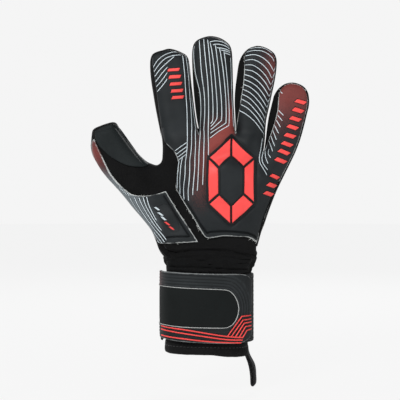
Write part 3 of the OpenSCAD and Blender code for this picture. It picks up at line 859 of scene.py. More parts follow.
BACK_T = 2.3
BADGE_C = np.array([20.8, 152.6])
BADGE_O = BADGE_C + np.array([[0, 38.2], [19.8, 20], [19.8, -19], [0, -37.4], [-19.8, -19], [-19.8, 20]])
BADGE_I = BADGE_C + (BADGE_O - BADGE_C) * np.array([0.56, 0.60])
PANEL = mm("-1.4,103.3 -6.3,110.0 -10.6,117.5 -16.2,126.7 -20.9,134.6 -24.2,140.5 -26.8,145.0 -27.8,148.7 -26.6,155.1 -25.4,162.5 -25.8,169.9 -27.4,175.5 -29.8,179.6 -33.2,183.3 -36.4,187.0 -38.4,190.9 -39.9,197.1 -41.4,207.0 -42.6,216.9 -43.8,226.7 -44.8,234.1 -46.1,244.0 -47.2,251.4 -48.2,258.2 -47.7,262.3 -44.3,264.9 -39.0,266.7 -34.1,267.8 -28.5,266.9 -22.4,264.9 -18.7,262.8 -17.2,258.2 -16.2,249.0 -15.3,236.6 -13.7,221.8 -11.7,208.2 -9.6,198.8 -7.4,193.6 -6.3,199.6 -5.8,207.0 -5.6,215.6 -6.3,226.7 -7.9,235.4 -9.8,242.8 -11.2,250.2 -12.2,260.1 -12.1,268.7 -10.9,273.0 -8.8,276.1 -4.5,278.2 1.1,279.5 7.3,279.1 12.0,277.2 16.0,274.5 18.9,271.2 20.2,266.2 20.6,255.1 21.0,236.6 21.6,221.8 22.5,207.0 23.3,198.8 24.6,194.4 25.7,200.8 27.2,209.4 28.6,216.9 29.9,226.7 31.5,236.6 32.3,245.3 32.8,255.1 33.1,262.5 34.6,267.2 37.5,269.5 44.3,270.9 50.2,269.5 54.8,266.7 57.9,263.7 59.3,259.5 59.4,253.9 58.4,245.3 56.8,236.6 55.3,229.2 54.1,223.0 52.7,217.5 51.4,211.9 50.2,205.7 49.4,197.1 48.9,189.7 49.1,176.4 52.0,183.5 54.4,189.7 57.5,198.3 60.0,207.0 62.0,215.6 62.7,224.3 63.6,229.8 65.4,234.0 68.5,237.0 73.3,238.5 79.9,237.4 83.8,234.9 86.4,230.8 87.7,225.5 87.4,219.3 85.8,211.9 83.2,202.0 79.8,189.7 75.6,178.6 70.2,167.5 63.7,154.5 59.1,145.2 55.1,135.4 51.4,125.5 47.9,115.6 45.3,108.2 42.8,99.2 39.4,101.8 34.4,103.8 27.0,104.0 19.6,104.5 13.4,104.5 7.3,103.5 2.3,103.0")
PANEL_T = seen(curve(PANEL, 1.15, True, 60), BACK_T)
GROOVES = [seen(curve(mm("-20.1,137.2 -15.6,130.2 -10.0,121.2 -5.1,113.4 -0.4,107.2 2.3,108.1 9.7,108.6 19.6,108.7 27.0,108.2 34.4,107.3 39.4,105.5 42.1,103.5"), 1.0), BACK_T),
           seen(curve(mm("62.2,153.3 57.7,144.0 53.6,134.1 49.8,124.2 46.5,114.4 44.1,107.0"), 1.0), BACK_T)]
BADGE_GROOVE = BADGE_C + (BADGE_O - BADGE_C) * np.array([1.14, 1.075])
BADGE_GROOVE = seen(curve(BADGE_GROOVE, 1.0, True, 20), BACK_T)


def back_emboss(P, e):
    h = np.zeros(len(P))
    for g in GROOVES:
        h -= 0.85 * np.exp(-((seg_dist(P, g) / 0.9) ** 2))
    db = seg_dist(P, BADGE_GROOVE, True)
    h -= 1.0 * np.exp(-((db / 1.25) ** 2))
    # the pad swells a little between its edges
    h += 0.5 * smooth(1.0, 7.0, e)
    return h


def blob(P, c, r, amp=1.0):
    c, r = np.array(c), np.array(r)
    return amp * np.exp(-(((P - c) / r) ** 2).sum(1))


RED_BASE = mm("18.6,216.9 23.1,216.9 23.8,207.0 24.3,195.2 19.6,193.6 14.7,188.5 8.3,180.1 3.0,171.2 1.1,167.5 0.9,179.8 1.8,189.7 9.7,196.1 17.8,203.5")


def back_red(P):
    f = finger_of(P)
    q = np.zeros(len(P))
    hexa = seen(BADGE_C + (BADGE_O - BADGE_C) * 1.08, BACK_T)
    d = seg_dist(P, seen(RED_BASE), True) * np.where(inside(P, seen(RED_BASE)), 1, -1)
    q = np.maximum(q, smooth(-2.2, 1.2, d) * 0.95 * smooth(152, 172, P[:, 1]))
    q = np.maximum(q, blob(P, (0, 168), (17, 30), 0.66) * (P[:, 1] < 206))
    q = np.maximum(q, blob(P, (-6, 147), (12, 22), 0.44) * (1 - smooth(0, 6, P[:, 0])))
    q = np.maximum(q, (f == 1) * blob(P, (21.5, 208), (6, 24), 0.80))
    q = np.maximum(q, (f == 1) * blob(P, (10, 200), (15, 12), 0.50))
    q = np.maximum(q, (f == 2) * (P[:, 1] > 200) * blob(P, (59, 250), (13, 26), 0.66))
    q = np.maximum(q, (f == 3) * (P[:, 1] > 180) * (0.66 * smooth(178, 228, P[:, 1] - 0.25 * (P[:, 0] - 70)) + 0.08))
    return q * ~inside(P, hexa)


extra = []
for gline in GROOVES + [np.concatenate([BADGE_GROOVE, BADGE_GROOVE[:1]])]:
    t = unit(np.gradient(gline, axis=0))
    nn = np.stack([-t[:, 1], t[:, 0]], 1)
    extra += [gline + nn * o for o in (-1.8, -0.9, 0, 0.9, 1.8)]


def back_calm(P):
    """Where the cut edge stays dark: the thumb side of the index finger and the fingertips."""
    q = 2.0 * (P[:, 0] < -30) * (P[:, 1] > 166) * (finger_of(P) == 0) * smooth(-36, -40, P[:, 0] + (P[:, 1] - 200) * 0.14)
    for k, top in enumerate((262, 272, 262, 236)):
        q = np.maximum(q, (finger_of(P) == k) * 0.55 * smooth(top - 14, top - 2, P[:, 1]))
    return q


back_sheet = sheet(PANEL_T, -1, BACK_T, 1.6, emboss=back_emboss, extra=extra, red=back_red, mi=(0, 0), calm=back_calm)


def on_back(P, lift=0.0):
    pos, n = skin(P, -1)
    d = seg_dist(P, SIL, True, KEEP)
    e = seg_dist(P, PANEL_T, True)
    t = BACK_T * (0.30 + 0.70 * smooth(0.4, 5.0, d)) + 0.5 * smooth(1.0, 7.0, e)
    b = 0.9
    t = t - b * (1 - np.sqrt(np.clip(1 - (1 - np.clip(e / b, 0, 1)) ** 2, 0, 1))) * 0.7
    return pos + n * (t + lift)[:, None], n


def on_back_plain(P):
    return on_back(P)


LINES_W = []
# index
LINES_W += [mm(t) for t in (
    "-47.2,252.9 -43.3,259.5 -37.8,263.5 -31.6,265.8 -27.0,266.0", "-46.6,248.7 -42.5,255.4 -37.5,260.3 -30.8,263.0 -23.3,263.5", "-45.8,244.8 -41.9,250.6 -36.9,256.0 -29.4,262.3",
    "-45.2,240.1 -40.6,246.4 -35.2,253.4", "-44.5,235.9 -40.0,241.5 -35.2,248.2", "-43.6,231.7 -39.4,237.1 -35.4,242.8",
    "-22.4,263.0 -21.6,256.4 -20.9,249.0 -20.1,236.6 -19.4,226.7 -18.7,216.9 -18.2,204.5 -17.8,192.2 -17.9,183.5 -18.5,174.9 -19.1,165.0 -19.6,155.1 -20.0,145.2 -19.9,136.3",
    "-19.6,262.5 -18.4,253.9 -17.5,244.0 -16.8,234.1 -16.1,224.3 -15.3,214.4 -14.7,204.5 -14.2,194.6 -14.0,186.0 -14.5,177.3 -15.2,167.5 -15.8,156.4 -16.3,146.5 -16.4,135.4",
    "-17.5,260.6 -16.6,252.7 -15.8,244.0 -14.9,234.1 -14.1,224.3 -13.0,213.2 -11.7,202.0 -10.6,190.9 -10.3,183.5 -10.6,174.9 -11.2,165.0 -12.0,155.1 -12.5,147.7 -12.7,140.3",
    "-28.5,179.6 -23.6,183.3 -18.0,187.1", "-27.4,176.6 -22.6,180.2 -18.0,183.6", "-26.4,173.9 -22.1,177.1 -18.2,180.2", "-25.6,171.2 -22.0,174.0 -18.7,176.6",
    "-22.0,174.9 -22.9,165.0 -23.2,152.6 -23.6,141.3", "-24.8,170.6 -25.3,162.5 -25.8,153.9 -26.6,146.2")]
# middle
LINES_W += [mm(t) for t in (
    "-10.5,275.6 -11.5,268.7 -11.1,260.1 -10.0,250.2 -8.0,240.3 -6.2,231.7 -5.3,221.8 -5.1,211.9 -5.6,202.0 -6.3,192.2 -7.0,181.0 -7.7,168.7 -8.3,156.4 -8.9,144.0",
    "-6.8,276.9 -6.3,268.7 -5.6,256.4 -4.2,242.8 -2.8,231.7 -2.1,221.8 -2.0,211.9 -2.4,200.8 -2.7,189.7 -3.3,177.3 -3.8,165.0 -4.2,149.6",
    "-3.2,277.7 -2.5,268.7 -1.4,256.4 -0.1,244.0 0.7,231.7 1.1,219.3 1.1,207.0 1.0,194.6 0.9,183.5 0.7,175.5",
    "0.2,276.9 1.1,268.7 2.1,257.6 3.2,245.3 4.2,232.9 4.8,219.3 4.8,209.4 4.3,205.7 2.7,203.5",
    "2.3,274.6 3.9,267.5 5.2,257.6 6.4,246.5 7.5,234.1 8.4,221.8 8.5,210.7 8.0,207.5 3.0,200.7",
    "6.8,272.7 7.9,266.2 9.0,256.4 10.1,246.5 11.2,235.4 12.1,224.3 12.5,211.9 12.2,206.4 2.8,197.6",
    "10.5,270.2 11.8,262.5 13.0,253.9 14.1,244.0 15.1,232.9 15.8,220.6 16.0,209.4 15.9,204.0 2.7,194.3",
    "14.2,267.2 15.2,258.8 16.0,250.2 16.9,240.3 17.6,229.2 18.3,216.9 18.4,205.7 18.1,201.8 2.5,190.7",
    "2.0,275.1 7.3,275.9 13.4,274.6 19.4,270.7", "4.7,272.7 8.3,273.2 14.2,271.9 19.9,268.7", "7.9,270.4 14.7,269.2 20.2,267.0", "11.6,268.2 16.2,267.2 20.5,265.3", "14.7,265.8 20.7,263.5",
    "19.6,261.8 20.0,249.0 20.4,236.6 20.9,224.3 21.5,211.9 22.1,200.8")]
# ring
LINES_W += [mm(t) for t in (
    "35.9,268.7 43.7,269.8 51.1,268.7 57.3,264.8", "34.4,266.2 43.1,267.5 49.9,266.2 56.0,261.9 57.9,258.2", "33.6,262.8 41.2,264.0 48.0,261.8 53.6,257.0 57.3,250.2",
    "33.5,259.1 40.0,259.8 46.5,257.0 52.1,251.2 55.9,243.4", "33.2,255.1 39.6,254.9 45.6,251.2 51.1,245.0 54.9,237.6", "33.1,250.9 39.4,249.5 45.6,245.5 50.5,239.7 53.9,232.9",
    "32.8,246.7 39.0,244.5 45.2,240.1 49.9,234.1 53.1,227.7", "32.5,242.5 38.5,239.7 44.7,235.1 49.0,229.0 52.1,222.8", "32.0,238.2 37.9,235.4 44.1,230.1 48.4,223.6 51.4,217.8",
    "31.4,234.0 37.3,230.8 43.5,224.9 47.8,218.5 50.6,212.9", "30.6,229.8 36.7,226.2 42.8,219.9 47.2,213.2 50.0,207.5", "29.9,225.5 35.9,221.8 42.6,214.6 47.0,208.0 49.8,202.5",
    "29.1,220.9 35.3,217.1 42.1,210.1 46.5,203.0 49.5,197.6", "28.4,215.6 34.7,211.5 41.6,205.1 46.3,198.1 49.3,193.1",
    "59.1,253.6 57.2,249.5", "58.8,249.0 56.4,244.0", "58.0,244.0 55.4,238.6", "57.0,238.3 54.3,232.9", "55.9,232.7 53.2,227.5", "54.7,227.2 52.1,222.5", "53.3,221.8 51.2,217.8")]
# little
LINES_W += [mm(t) for t in (
    "64.6,231.7 66.3,229.7", "62.8,215.4 67.0,210.7", "62.0,211.2 65.8,206.0", "60.9,206.7 64.3,200.3", "59.5,202.0 62.8,194.9", "58.1,197.6 61.0,189.1", "56.5,193.1 59.4,183.5", "54.8,188.7 57.9,178.8",
    "47.3,190.9 45.8,181.0 45.3,170.2 48.3,163.8 51.4,157.6", "49.8,187.2 48.3,178.6 47.8,170.2 52.6,162.5", "52.7,184.0 51.4,178.3 50.9,173.9 53.2,168.1", "54.9,181.0 53.9,176.1 55.9,173.0")]

def tint(m):
    m.A["red"] = back_red(m.V[:, [0, 2]])
    return m


# Painted shade: a ribbon of the darker foam lies in each groove, and a wider, flat one under each pale line darkens the
# foam beside the raised print. The wide ones also carry the red print.
back_lines = []
for g in GROOVES:
    r = ribbon(g, on_back_plain, 1.0, -0.55, 4, smooth_it=False, clip=PANEL_T)
    if r:
        back_lines.append(r)
for L in LINES_W:
    q = seen(curve(L, 1.0, False, 40), BACK_T + 0.4)
    r = ribbon(q, on_back_plain, 0.74, 0.36, 1, smooth_it=False, clip=PANEL_T)
    if r:
        back_lines.append(r)
        back_lines.append(tint(ribbon(q, on_back_plain, 2.0, 0.07, 4, smooth_it=False, clip=PANEL_T)))


def bar(center, ang, length, width, slant=0.0, r=0.7):
    """A plain bar: a parallelogram with rounded corners."""
    u = np.array([math.cos(ang), math.sin(ang)])
    v = np.array([-u[1], u[0]])
    w, l = width / 2, length / 2
    P = [(-l - slant, -w), (l - slant, -w), (l + slant, w), (-l + slant, w)]
    return curve(np.array([np.array(center) + u * a + v * b for a, b in P]), 0.8, True, 20)


def cpt(t):
    return t[0]


red_bars = []
# plain bars up the index finger
for t in ("238,282", "249,336", "258,392", "266,450"):
    pass
INDEX_BARS = mm("-29.8,250.7 -28.9,244.6 -28.0,238.6 -27.0,232.5 -26.3,226.7")
for i, c in enumerate(INDEX_BARS):
    P = seen(bar(c, math.radians(4), 10.2, 3.0, 0.7), BACK_T + 0.4)
    red_bars.append(chip(P, on_back_plain, 0.55, 2))
    red_bars.append(chip(seen(bar(c, math.radians(4), 11.6, 4.3, 0.7), BACK_T + 0.4), on_back_plain, 0.1, 4, bevel=0.3))
# plain slanted dashes along the outer edge of the little finger
dash = curve(mm("82.1,224.5 79.9,216.9 76.8,207.0 73.7,197.6 70.4,187.2 66.5,177.3 62.6,167.5 58.5,157.0 55.4,148.9 52.3,140.3"), 0.5)
seg = np.concatenate([[0], np.cumsum(np.linalg.norm(np.diff(dash, axis=0), axis=1))])
for i, s in enumerate(np.linspace(2, seg[-1] - 2, 12)):
    if i == 8:
        continue
    c = np.array([np.interp(s, seg, dash[:, 0]), np.interp(s, seg, dash[:, 1])])
    t = np.array([np.interp(s + 1, seg, dash[:, 0]), np.interp(s + 1, seg, dash[:, 1])]) - c
    w = 8.6 if i < 8 else 7.0
    a = math.atan2(t[1], t[0]) + math.pi / 2
    red_bars.append(chip(seen(bar(c, a, w, 3.7, 1.1), BACK_T + 0.4), on_back_plain, 0.55, 2))
    red_bars.append(chip(seen(bar(c, a, w + 1.4, 5.0, 1.3), BACK_T + 0.4), on_back_plain, 0.1, 4, bevel=0.3))



def frays(outline, lift_fn, lo, hi, count, seed, mi, length=(0.8, 2.6)):
    """Loose pale fibres where the foam's backing cloth is cut. lo, hi: the stretch of the outline, as z and x limits."""
    out = []
    inn = inward(outline)
    ok = np.where((outline[:, 0] > lo[0]) & (outline[:, 0] < hi[0]) & (outline[:, 1] > lo[1]) & (outline[:, 1] < hi[1]))[0]
    rnd = np.random.RandomState(int(seed * 100) + 7)
    i = 0
    for k in range(count):
        h = rnd.rand(6)
        # fibres come in tufts
        i = ok[int(rnd.rand() * len(ok))] if h[4] > 0.45 or k == 0 else min(max(i + rnd.randint(-2, 3), 0), len(outline) - 1)
        p, n = outline[i], -inn[i]
        t = np.array([-n[1], n[0]])
        L = length[0] + (length[1] - length[0]) * h[0] ** 2
        lean = (h[1] - 0.5) * 2.4
        d1 = n * math.cos(lean) + t * math.sin(lean)
        d2 = n * math.cos(lean * 1.6 + (h[2] - 0.5)) + t * math.sin(lean * 1.6 + (h[2] - 0.5))
        q = np.array([p - n * 0.5, p + d1 * L * 0.5, p + d1 * L * 0.5 + d2 * L * 0.6])
        pos, nn = lift_fn(q)
        P = pos + nn * np.array([-0.15, -0.5, -0.9 + 1.1 * h[3]])[:, None]
        w = 0.16
        s = unit(np.cross(nn[0], P[2] - P[0]))
        V = np.concatenate([P + s * np.array([w, w * 0.8, w * 0.2])[:, None], P - s * np.array([w, w * 0.8, w * 0.2])[:, None]])
        F = [(0, 1, 4), (0, 4, 3), (1, 2, 5), (1, 5, 4)]
        m = M(V, F, mi)
        if (m.N[1] @ nn[1]) < 0:
            m.F = m.F[:, ::-1]
            m.N = -m.N
        out.append(m)
    return join(*out)


def tip_frays(outline, x0, x1, z0, count, seed, mi, length):
    """Short fibres that stand out past the end of a finger, in the plane of the glove."""
    inn = inward(outline)
    ok = np.where((outline[:, 0] > x0) & (outline[:, 0] < x1) & (outline[:, 1] > z0))[0]
    rnd = np.random.RandomState(seed)
    out = []
    for k in range(count):
        h = rnd.rand(5)
        i = ok[int(rnd.rand() * len(ok))]
        pos, nn = on_back_plain(outline[i:i + 1])
        n = np.array([-inn[i][0], 0.0, -inn[i][1]])
        t = np.array([-n[2], 0.0, n[0]])
        L = length[0] + (length[1] - length[0]) * h[0] ** 2
        a, b = (h[1] - 0.5) * 1.8, (h[2] - 0.5) * 3.0
        P0 = pos[0] - nn[0] * 0.5 - n * 0.2
        P1 = P0 + (n * math.cos(a) + t * math.sin(a)) * L * 0.55 + np.array([0, 0.3, 0])
        P2 = P1 + (n * math.cos(b) + t * math.sin(b)) * L * 0.55
        P = np.array([P0, P1, P2])
        s = unit(np.cross(np.array([0, -1.0, 0]), P2 - P0 + 1e-9))
        w = np.array([0.20, 0.15, 0.05])[:, None]
        m = M(np.concatenate([P + s * w, P - s * w]), [(0, 1, 4), (0, 4, 3), (1, 2, 5), (1, 5, 4)], mi)
        if m.N[1][1] > 0:
            m.F = m.F[:, ::-1]
            m.N = -m.N
        out.append(m)
    return join(*out)


tips = [tip_frays(PANEL_T, -60, -22, 250, 26, 11, 4, (0.9, 2.4)), tip_frays(PANEL_T, -20, 20, 268, 12, 12, 4, (0.6, 1.6)),
        tip_frays(PANEL_T, 26, 66, 252, 24, 13, 3, (0.7, 1.9)), tip_frays(PANEL_T, 62, 100, 222, 22, 14, 3, (0.8, 2.2))]
back_frays = tips + [frays(PANEL_T, on_back_plain, (-50, 98), (-4, 150), 26, 1.0, 3), frays(PANEL_T, on_back_plain, (-5, 94), (46, 104), 22, 2.0, 3, (0.6, 2.0)),
              frays(PANEL_T, on_back_plain, (-50, 225), (90, 290), 22, 3.0, 3, (0.5, 1.6))]
back_all = join(back_sheet, *back_lines, *red_bars, *back_frays)
BACKN = {n + "_lower": [n + "_back_base"] for n in NAMES}
BACKN.update({n + "_end": [n + "_back_tip"] for n in NAMES})
BACKN["hand"] = ["backhand_panel"]
spread("backhand", back_all, [FOAM, WHITE, RED, FRAY, DARK_FOAM_AND_SHADE], BACKN)

# the badge: six plain bars round a dark middle
bars = []
for k in range(6):
    a, b = BADGE_O[k], BADGE_O[(k + 1) % 6]
    c, d = BADGE_I[(k + 1) % 6], BADGE_I[k]
    t = unit(b - a) * 1.15
    t2 = unit(c - d) * 1.15
    P = curve(np.array([a + t, b - t, c - t2, d + t2]), 1.0, True, 15)
    bars.append(chip(seen(P, BACK_T + 0.9), on_back_plain, 1.05, 0, 1.6, 0.8, (0.3, 0.7, 1.3)))
    Q = seen(P, BACK_T + 0.9)
    bars.append(chip(Q - inward(Q) * 2.1, on_back_plain, 0.16, 1, 1.6, 0.4, (0.3, 0.9)))
o = build("raised_badge", join(*bars), [RED_BADGE, DARK_FOAM_AND_SHADE])
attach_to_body(o, "hand")
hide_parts("backhand_badge")

# ------------------------------------------------------------------ palm latex
def inset(line, d):
    return line + inward(line) * d


PALM_SRC = np.concatenate([mm("-31.5,104 -29.8,112 -33.2,124 -37.8,137 -38.6,150"), OUT_INDEX[4:], OUT_MIDDLE, OUT_RING, OUT_LITTLE, mm("40,103 20,101.5 0,101 -20,102")])
pc = curve(PALM_SRC, 1.6, True, 60)
PALM_O = inset(pc, 2.4)
ok = inside(PALM_O, pc) & (seg_dist(PALM_O, pc, True) > 2.2)
PALM_O = PALM_O[ok]
THUMB_SRC = np.concatenate([mm("-43,94")[:0], mm("-37.5,103 -43.5,103.5"), OUT_LEFT[1:], OUT_THUMB, mm("-44.5,163 -42.5,150 -41.5,137 -37,124 -33.4,112")])
tc = curve(THUMB_SRC, 1.6, True, 60)
PALMT_O = inset(tc, 2.0)
ok = inside(PALMT_O, tc) & (seg_dist(PALMT_O, tc, True) > 1.8)
PALMT_O = PALMT_O[ok]


def palm_emboss(P, e):
    h = 0.35 * smooth(1.0, 8.0, e)
    for k in range(4):
        j0, j1, ax = axis_of(k)
        f = finger_of(P) == k
        for c in (j0 + ax * 3, j1):
            h -= f * 0.8 * np.exp(-(((P - c) @ ax) / 1.6) ** 2) * smooth(1.2, 4, e)
    return h


palm_sheet = sheet(PALM_O, 1, 2.2, 1.8, emboss=palm_emboss, mi=(0, 0))
palm_thumb = sheet(PALMT_O, 1, 2.2, 1.8, emboss=lambda P, e: 0.35 * smooth(1.0, 8.0, e), mi=(0, 0))


def on_palm(P):
    pos, n = skin(P, 1)
    d = seg_dist(P, SIL, True, KEEP)
    return pos + n * (2.2 * (0.30 + 0.70 * smooth(0.4, 5.0, d)) - 0.05)[:, None], n


def stitches(line, lift_fn, every=3.1, length=2.1, width=0.55, height=0.28, mi=1, closed=True):
    L = curve(line, 0.6, closed, 400)
    if closed:
        L = np.concatenate([L, L[:1]])
    s = np.concatenate([[0], np.cumsum(np.linalg.norm(np.diff(L, axis=0), axis=1))])
    out = []
    for a in np.arange(0.5, s[-1] - length, every):
        q = np.linspace(a, a + length, 4)
        P = np.stack([np.interp(q, s, L[:, 0]), np.interp(q, s, L[:, 1])], 1)
        out.append(ribbon(P, lift_fn, width, height, mi, smooth_it=False))
    return join(*out)


def thin_ring(poly, d):
    q = poly + inward(poly) * d
    ok = inside(q, poly) & (seg_dist(q, poly, True) > 0.9 * d)
    return q[ok]


palm_all = join(palm_sheet, stitches(thin_ring(PALM_O, 1.5), on_palm))
PN = {n + "_lower": [n + "_palm_base"] for n in NAMES}
PN.update({n + "_end": [n + "_palm_tip"] for n in NAMES})
PN["hand"] = ["palm_latex"]
spread("palm", palm_all, [LATEX, THREAD], PN)
spread("thumb_palm", join(palm_thumb, stitches(thin_ring(PALMT_O, 1.5), on_palm)), [LATEX, THREAD], {"thumb_lower": ["thumb_latex_base"]})

# ------------------------------------------------------------------ thumb: back strip with the side panel, and the latex wrap
STRIP = mm("-99.6,190.1 -97.6,185.2 -95.3,180.0 -92.5,174.5 -88.6,166.3 -84.2,158.4 -76.5,149.6 -67.1,141.9 -56.2,139.9 -46.2,141.2 -36.8,144.2 -27.3,128.7 -19.3,116.7 -8.4,99.4 -24.2,98.6 -41.3,98.4 -45.0,102.1 -49.2,109.8 -56.3,119.0 -65.7,129.9 -74.4,140.8 -82.3,149.6 -89.3,157.3 -95.5,166.0 -100.4,175.1 -101.9,182.8 -101.6,187.5")
STRIP_T = seen(curve(STRIP, 1.1, True, 50), 1.8)


def strip_red(P):
    return 0.40 * smooth(150, 160, P[:, 1]) * smooth(196, 188, P[:, 1]) + 0.34 * blob(P, (-98, 177), (10, 14))


def strip_fade(P):
    a = smooth(168, 150, P[:, 1]) * smooth(9.5, 2.0, np.abs((P[:, 0] + 68) * 0.74 + (P[:, 1] - 134) * 0.67) - 4)
    return np.clip(0.44 * a * smooth(-36, -52, P[:, 0]) + 0.22 * smooth(184, 194, P[:, 1]), 0, 1)


strip_groove = seen(curve(mm("-41.8,103.1 -26.0,103.8 -15.8,104.2 -24.2,117.5 -32.1,130.2 -38.6,140.3"), 1.0), 1.8)
gx = []
t = unit(np.gradient(strip_groove, axis=0))
nn = np.stack([-t[:, 1], t[:, 0]], 1)
gx = [strip_groove + nn * o for o in (-1.6, -0.8, 0, 0.8, 1.6)]
strip = sheet(STRIP_T, -1, 2.0, 1.6, emboss=lambda P, e: -0.8 * np.exp(-((seg_dist(P, strip_groove) / 0.8) ** 2)) + 0.35 * smooth(1, 6, e), extra=gx, red=strip_red, fade=strip_fade)


def on_strip(P):
    pos, n = skin(P, -1)
    d = seg_dist(P, SIL, True, KEEP)
    e = seg_dist(P, STRIP_T, True)
    return pos + n * (2.0 * (0.30 + 0.70 * smooth(0.4, 5.0, d)) + 0.35 * smooth(1, 6, e))[:, None], n


FAN = [mm(t) for t in (
    "-74.5,142.1 -70.1,134.2 -63.0,124.0 -54.4,113.0 -48.9,104.3 -44.2,98.7", "-71.3,139.9 -66.6,131.8 -59.9,122.4 -52.0,112.2 -45.7,104.3 -41.8,98.7", "-67.7,138.9 -63.0,131.1 -56.3,121.6 -49.3,112.2 -43.1,104.3 -39.3,98.7",
    "-63.8,138.6 -59.9,131.1 -53.6,121.6 -46.8,112.5 -40.5,104.3 -37.1,99.0", "-60.2,138.6 -56.7,131.4 -51.2,122.4 -45.3,113.8 -39.3,106.2 -35.5,100.9", "-56.6,138.8 -54.1,131.8 -49.7,124.0 -44.6,116.1 -39.9,109.8",
    "-53.6,139.1 -51.7,132.6 -48.4,125.6 -44.3,118.5", "-77.0,148.7 -75.3,145.4", "-75.1,147.1 -72.9,143.0", "-72.9,145.2 -70.4,141.0", "-70.4,143.6 -68.2,140.2")]
fan = []
# Painted shade: each pale line sits on a wider, flat ribbon of the darker foam that darkens the foam beside it.
for L in FAN:
    r = ribbon(seen(curve(L, 1.0), 2.2), on_strip, 0.80, 0.30, 1, smooth_it=False, clip=STRIP_T, clear=2.6)
    if r:
        fan.append(r)
        fan.append(ribbon(seen(curve(L, 1.0), 2.2), on_strip, 1.9, 0.06, 3, smooth_it=False, clip=STRIP_T, clear=2.6))
# Painted shade: a thin loop of the darker foam stands for the shade of an embossed contour.
for L in (mm("-33.0,130.7 -38.5,132.5 -43.9,130.2 -43.2,125.3 -39.2,118.3 -33.4,110.5 -29.0,108.1 -24.7,109.5 -25.1,114.8 -29.1,122.8 -33.0,130.7"),):
    r = ribbon(seen(curve(L, 1.0), 2.2), on_strip, 0.55, 0.05, 3, smooth_it=False, clip=STRIP_T)
    if r:
        fan.append(r)
# Painted shade: a ribbon of the darker foam lies in the groove.
gr = ribbon(strip_groove, on_strip, 0.9, -0.5, 3, smooth_it=False, clip=STRIP_T)
if gr:
    fan.append(gr)
marks = []
for c, mi in ((mm("-44.3,128.7")[0], 1), (mm("-41.2,123.8")[0], 1), (mm("-38.5,120.1")[0], 1), (mm("-35.2,115.7")[0], 2), (mm("-31.4,111.6")[0], 2)):
    marks.append(chip(seen(bar(c, math.radians(-38), 5.0, 1.5, 0.9), 2.2), on_strip, 0.4, mi, 0.9, 0.3, (0.2, 0.45)))
strip_frays = [frays(STRIP_T, on_strip, (-60, 97), (0, 160), 16, 4.0, 4, (0.5, 1.6))]
spread("thumb_back", join(strip, *fan, *marks, *strip_frays), [FOAM, WHITE, RED, DARK_FOAM_AND_SHADE, FRAY], {"hand": ["thumb_side_panel"], "thumb_lower": ["thumb_back_base"], "thumb_end": ["thumb_back_tip"]})

WRAPP = mm("-99.1,196.6 -92.0,200.5 -84.9,202.4 -80.2,202.6 -75.9,197.5 -68.7,187.4 -61.2,177.2 -54.5,170.0 -51.5,168.1 -55.4,165.8 -62.9,165.6 -70.4,166.8 -77.9,170.0 -84.9,174.1 -91.1,179.3 -95.7,184.4 -98.3,190.1")
WRAP_T = seen(curve(WRAPP, 1.1, True, 50), 1.6)
wg = seen(curve(mm("-82.5,201.2 -79.8,198.2 -74.5,191.1 -68.7,183.0 -62.4,174.8 -56.2,167.6"), 1.0), 1.6)
wg2 = seen(curve(mm("-98.5,195.7 -93.7,197.6 -88.4,198.7 -82.6,200.8"), 1.0), 1.6)
wx = []
for L in (wg, wg2):
    t = unit(np.gradient(L, axis=0))
    nn = np.stack([-t[:, 1], t[:, 0]], 1)
    wx += [L + nn * o for o in (-1.4, -0.7, 0, 0.7, 1.4)]
wrap = sheet(WRAP_T, -1, 1.9, 1.5, emboss=lambda P, e: -0.9 * np.exp(-((seg_dist(P, wg) / 0.8) ** 2)) - 0.9 * np.exp(-((seg_dist(P, wg2) / 0.8) ** 2)) + 0.4 * smooth(1, 6, e) + 0.25 * np.sin(P[:, 0] * 0.5 + P[:, 1] * 0.32) * smooth(1, 5, e), extra=wx, calm=lambda P: np.full(len(P), 0.9))


def on_wrap(P):
    pos, n = skin(P, -1)
    d = seg_dist(P, SIL, True, KEEP)
    return pos + n * (1.9 * (0.30 + 0.70 * smooth(0.4, 5.0, d)) - 0.72)[:, None], n


# Painted shade: ribbons of the darker foam along the two folds darken the creases.
crease_shade_lines = [r for r in (ribbon(L, on_wrap, 1.4, 0.06, 1, smooth_it=False, clip=WRAP_T) for L in (wg, wg2)) if r]
wrap = join(wrap, *crease_shade_lines)
spread("thumb_wrap", wrap, [WRAP, DARK_FOAM_AND_SHADE], {"thumb_end": ["thumb_latex_wrap"]})

# ------------------------------------------------------------------ wrist, cuff and strap
def oval(t, a, b, q=0.85):
    c, s = np.cos(t), np.sin(t)
    return a * np.sign(c) * np.abs(c) ** q, b * np.sign(s) * np.abs(s) ** q


def tube(rows, n=132, folds=None, mi=0, cap_in=None):
    """rows: z, middle x, middle y, half width, half depth. A skin round them; cap_in is not used."""
    rows = np.array(rows, float)
    # samples spread evenly along the oval
    tt = np.linspace(0, 2 * math.pi, 4000)
    x, y = oval(tt, 38, 22)
    s = np.concatenate([[0], np.cumsum(np.hypot(np.diff(x), np.diff(y)))])
    th = np.interp(np.arange(n) / n * s[-1], s, tt)
    V = []
    for z, xc, yc, a, b in rows:
        x, y = oval(th, a, b)
        V.append(np.stack([xc + x, yc + y, np.full(n, z)], 1))
    V = np.concatenate(V)
    k = len(rows)
    F = []
    for r in range(k - 1):
        for i in range(n):
            a, b = r * n + i, r * n + (i + 1) % n
            F += [(a, b + n, b), (a, a + n, b + n)]
    F = np.array(F)
    if rows[0][0] < rows[-1][0]:
        F = F[:, ::-1]
    m = M(V, F, mi)
    if folds is not None:
        h = folds(V, np.tile(th, k))
        m.V = m.V + m.N * h[:, None]
        m.N = normals(m.V, m.F)
    return m


def lerp_rows(keys, zs):
    K = np.array(keys, float)
    o = np.argsort(K[:, 0])
    return [[z] + [np.interp(z, K[o, 0], K[o, c]) for c in range(1, 5)] for z in zs]


